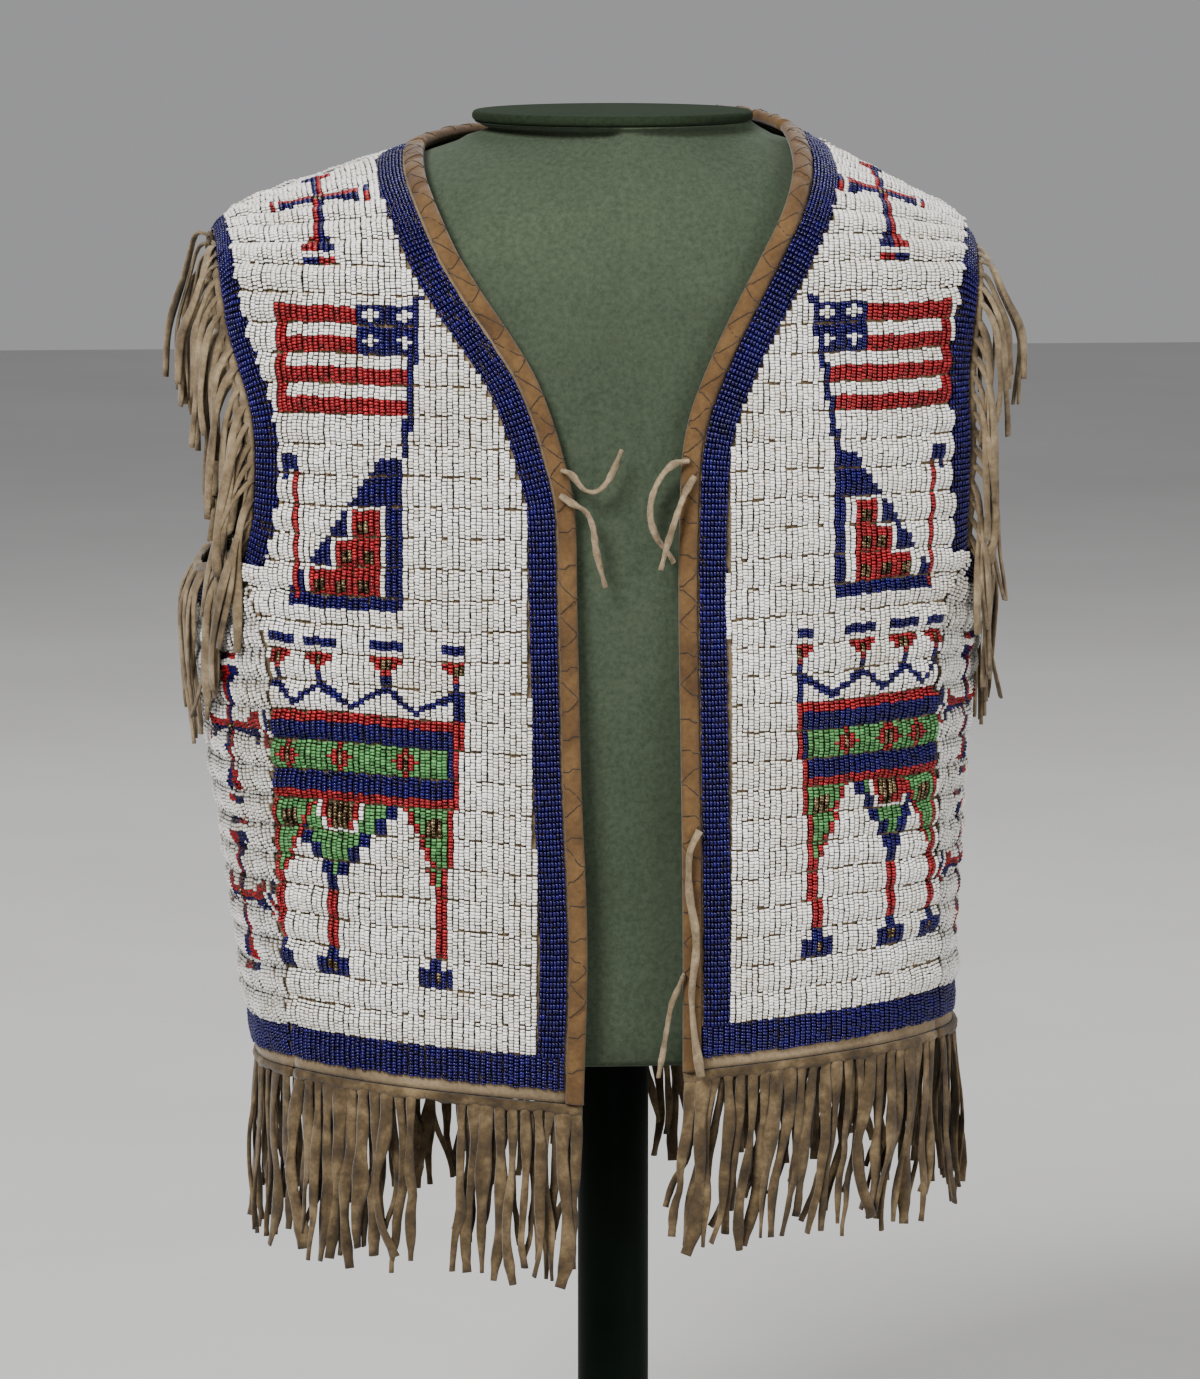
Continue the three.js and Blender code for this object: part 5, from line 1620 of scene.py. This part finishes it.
def speckle(tree, scale, detail=4.0, rough=0.6):
    """Noise in the piece's own coordinates."""
    place = tree.nodes.new("ShaderNodeTexCoord")
    grain = tree.nodes.new("ShaderNodeTexNoise")
    grain.inputs["Scale"].default_value = scale
    grain.inputs["Detail"].default_value = detail
    grain.inputs["Roughness"].default_value = rough
    tree.links.new(place.outputs["Object"], grain.inputs["Vector"])
    return grain.outputs["Fac"]


def shades(tree, factor, stops):
    """Colours from a factor, at given stops."""
    ramp = tree.nodes.new("ShaderNodeValToRGB")
    while len(ramp.color_ramp.elements) < len(stops):
        ramp.color_ramp.elements.new(0.5)
    for element, (at, colour) in zip(ramp.color_ramp.elements, stops):
        element.position = at
        element.color = (*colour, 1)
    tree.links.new(factor, ramp.inputs["Fac"])
    return ramp.outputs["Color"]


def blend(tree, kind, a, b):
    """Two colours wholly mixed in a way."""
    mix = tree.nodes.new("ShaderNodeMix")
    mix.data_type = "RGBA"
    mix.blend_type = kind
    mix.inputs["Factor"].default_value = 1.0
    tree.links.new(a, mix.inputs["A"])
    tree.links.new(b, mix.inputs["B"])
    return mix.outputs["Result"]


def relief(tree, surface, height, distance, strength):
    """A bump on a surface."""
    bump = tree.nodes.new("ShaderNodeBump")
    bump.inputs["Distance"].default_value = distance
    bump.inputs["Strength"].default_value = strength
    tree.links.new(height, bump.inputs["Height"])
    tree.links.new(bump.outputs["Normal"], surface.inputs["Normal"])


def glass_finish():
    """Glass seed beads, coloured by their attribute."""
    material, tree, surface = finish("bead_glass", 0.30, 0.27)
    # The attribute holds each bead's glass and the painted shade at its foot.
    own = tree.nodes.new("ShaderNodeAttribute")
    own.attribute_name = "bead_colour_and_painted_shade"
    dirt = shades(tree, speckle(tree, 30, 3), [(0.35, (0.86, 0.84, 0.80)), (0.6, (1, 1, 1))])
    fine = shades(tree, speckle(tree, 700, 2), [(0.3, (0.85, 0.85, 0.86)), (0.7, (1, 1, 1))])
    colour = blend(tree, "MULTIPLY", blend(tree, "MULTIPLY", own.outputs["Color"], dirt), fine)
    tree.links.new(colour, surface.inputs["Base Color"])
    relief(tree, surface, speckle(tree, 900, 2), 0.0001, 0.5)
    surface.inputs["Coat Weight"].default_value = 0.05
    surface.inputs["Coat Roughness"].default_value = 0.15
    return material


def metal_finish():
    """Faceted metal beads, dark with bright cut faces."""
    material, tree, surface = finish("faceted_metal", 0.34)
    surface.inputs["Metallic"].default_value = 0.9
    colour = shades(tree, speckle(tree, 420, 2), [(0.42, (0.030, 0.018, 0.010)), (0.66, (0.26, 0.19, 0.10))])
    tree.links.new(colour, surface.inputs["Base Color"])
    relief(tree, surface, speckle(tree, 600, 2), 0.0001, 0.5)
    return material


def hide_finish(name, dark, middle, pale, scale, grain, depth, rough=0.86):
    """Brain-tanned hide: blotches of shade, and a fine nap."""
    material, tree, surface = finish(name, rough, 0.25)
    blotches = shades(tree, speckle(tree, scale, 5, 0.6), [(0.28, dark), (0.5, middle), (0.74, pale)])
    nap = shades(tree, speckle(tree, grain, 3, 0.7), [(0.3, (0.72, 0.7, 0.68)), (0.62, (1, 1, 1))])
    tree.links.new(blend(tree, "MULTIPLY", blotches, nap), surface.inputs["Base Color"])
    relief(tree, surface, speckle(tree, grain * 0.8, 4, 0.7), depth, 0.8)
    surface.inputs["Sheen Weight"].default_value = 0.15
    surface.inputs["Sheen Roughness"].default_value = 0.5
    return material


def suede_finish(name, dark, pale, sheen):
    """Green suede cloth, with a short nap."""
    material, tree, surface = finish(name, 0.95, sheen)
    broad = shades(tree, speckle(tree, 9, 3), [(0.3, dark), (0.7, pale)])
    nap = shades(tree, speckle(tree, 520, 3, 0.75), [(0.3, (0.66, 0.68, 0.66)), (0.66, (1.12, 1.12, 1.12))])
    tree.links.new(blend(tree, "MULTIPLY", broad, nap), surface.inputs["Base Color"])
    relief(tree, surface, speckle(tree, 600, 3, 0.7), 0.0003, 0.5)
    surface.inputs["Sheen Weight"].default_value = sheen
    surface.inputs["Sheen Roughness"].default_value = 0.4
    surface.inputs["Sheen Tint"].default_value = (0.6, 0.75, 0.6, 1)
    return material


def paint_finish():
    """Satin paint of the post and base, nearly black green."""
    material, tree, surface = finish("dark_green_paint", 0.5, 0.05)
    greens = [(0.3, (0.0010, 0.0034, 0.0015)), (0.7, (0.0020, 0.0058, 0.0027))]
    colour = shades(tree, speckle(tree, 40, 3), greens)
    tree.links.new(colour, surface.inputs["Base Color"])
    relief(tree, surface, speckle(tree, 260, 3), 0.00006, 0.4)
    return material


HIDES = {
    "panel_hide": ((0.10, 0.070, 0.038), (0.175, 0.125, 0.070), (0.26, 0.195, 0.115), 45, 700, 0.0004),
    # The hide under the beads is darker: the dark of the thread, and painted shade between the beads.
    "ground_hide_thread_and_painted_shade": ((0.032, 0.022, 0.014), (0.055, 0.038, 0.024), (0.085, 0.062, 0.04), 60, 600, 0.0003),
    "binding_hide": ((0.059, 0.028, 0.008), (0.097, 0.050, 0.015), (0.140, 0.077, 0.026), 60, 500, 0.0003),
    "fringe_hide": (
        (0.014, 0.008, 0.003), (0.070, 0.045, 0.019), (0.20, 0.140, 0.070), 90, 620, 0.0007, 0.92,
    ),
    "arm_fringe_hide": (
        (0.040, 0.026, 0.012), (0.155, 0.110, 0.060), (0.32, 0.245, 0.145), 90, 620, 0.0007, 0.92,
    ),
    "thong_hide": ((0.10, 0.070, 0.038), (0.21, 0.155, 0.090), (0.34, 0.265, 0.160), 160, 700, 0.0005),
    "dark_thread": ((0.014, 0.008, 0.005), (0.028, 0.017, 0.009), (0.045, 0.03, 0.016), 200, 900, 0.0001),
}
glass = glass_finish()
metal = metal_finish()
tanned = {name: hide_finish(name, *numbers) for name, numbers in HIDES.items()}
suede = suede_finish("green_suede", (0.035, 0.047, 0.029), (0.050, 0.065, 0.041), 0.12)
# The plate's suede is the form's suede painted darker: painted shade on the plate.
plate_suede_with_painted_shade = suede_finish("plate_suede_with_painted_shade", (0.0120, 0.0180, 0.0100), (0.0180, 0.0260, 0.0145), 0.03)
paint = paint_finish()
print(len(bpy.data.materials), "finishes")

# %% Finishes on the pieces
def dress(piece, material, slot, *replaced):
    """Gives a piece its finish, its body and what it stands for; the slot is not used."""
    piece.data.materials.clear()
    piece.data.materials.append(material)
    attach(piece, "root")
    if replaced:
        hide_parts(*replaced)


for piece in tie_pieces:
    piece.data.materials.append(tanned["thong_hide"])
for name, piece in hides.items():
    dress(piece, tanned["panel_hide"], "fringe_hide", name)
    piece.data.materials.append(tanned["ground_hide_thread_and_painted_shade"])
for piece, (panel, kind) in bead_pieces.items():
    dress(piece, metal if kind == "metal" else glass, "beadwork")
for name, piece in binding_pieces.items():
    dress(piece, tanned["binding_hide"], "binding_hide", name)
for name, piece in threads:
    dress(piece, tanned["dark_thread"], "binding_hide")
for name, piece in fringe_pieces.items():
    kind = "arm_fringe_hide" if name.startswith("armhole") else "fringe_hide"
    dress(piece, tanned[kind], "fringe_hide", name)
dress(form, suede, "suede", "dress_form")
dress(plate, plate_suede_with_painted_shade, "suede", "neck_plate")
dress(post, paint, "dark_paint", "post")
dress(base, paint, "dark_paint", "base")

# %% [markdown]
# Each panel is a sheet of hide with its beads, binding and fringe on it. Its flat cut is listed and printed
# beside the area of the sheet as it hangs. The back carries both armhole fringes.

# %% The three sheets
def riders(panel):
    """The pieces that a panel carries."""
    found = [p for p, (owner, kind) in bead_pieces.items() if owner == panel]
    key = "back_neck_binding" if panel == "back" else panel + "_binding"
    found.append(binding_pieces[key])
    found += [p for name, p in threads if name == key]
    found.append(fringe_pieces["hem_fringe_" + panel])
    if panel == "back":
        found += [fringe_pieces["armhole_fringe_right"], fringe_pieces["armhole_fringe_left"]]
    return found


FLATS = {"right_front": (0.132, 0.404), "left_front": (0.123, 0.404), "back": (0.521, 0.404)}
for panel, flat in FLATS.items():
    riders(panel)
    print(panel, "cut", flat, "area", round(hide_areas[panel], 4))

# %% [markdown]
# A plain pale floor and soft lights, as in a small studio.

# %% Floor and lights
bpy.ops.object.select_all(action="DESELECT")
bpy.ops.mesh.primitive_plane_add(size=12, location=(0, 0, 0))
floor = bpy.context.object
floor.name = "studio_floor"
floor_paint, tree, surface = finish("pale_floor", 0.9, 0.2)
tone = shades(tree, speckle(tree, 3, 3), [(0.3, (0.50, 0.49, 0.48)), (0.7, (0.54, 0.53, 0.52))])
tree.links.new(tone, surface.inputs["Base Color"])
floor.data.materials.append(floor_paint)
LIGHTS = (
    ("key", (-1.5, -2.3, 2.4), 1.1, 205),
    ("fill", (2.3, -2.0, 1.3), 1.8, 70),
    ("rear", (0.3, 2.0, 2.4), 1.6, 44),
)
for name, spot, size, power in LIGHTS:
    light_data = bpy.data.lights.new(name, "AREA")
    light_data.size = size
    light_data.energy = power
    light = bpy.data.objects.new(name, light_data)
    bpy.context.scene.collection.objects.link(light)
    light.location = spot
    light.rotation_euler = (AIM - Vector(spot)).to_track_quat("-Z", "Y").to_euler()
world = bpy.data.worlds.new("studio")
bpy.context.scene.world = world
world.use_nodes = True
world.node_tree.nodes["Background"].inputs["Color"].default_value = (0.42, 0.42, 0.43, 1)
world.node_tree.nodes["Background"].inputs["Strength"].default_value = 0.8
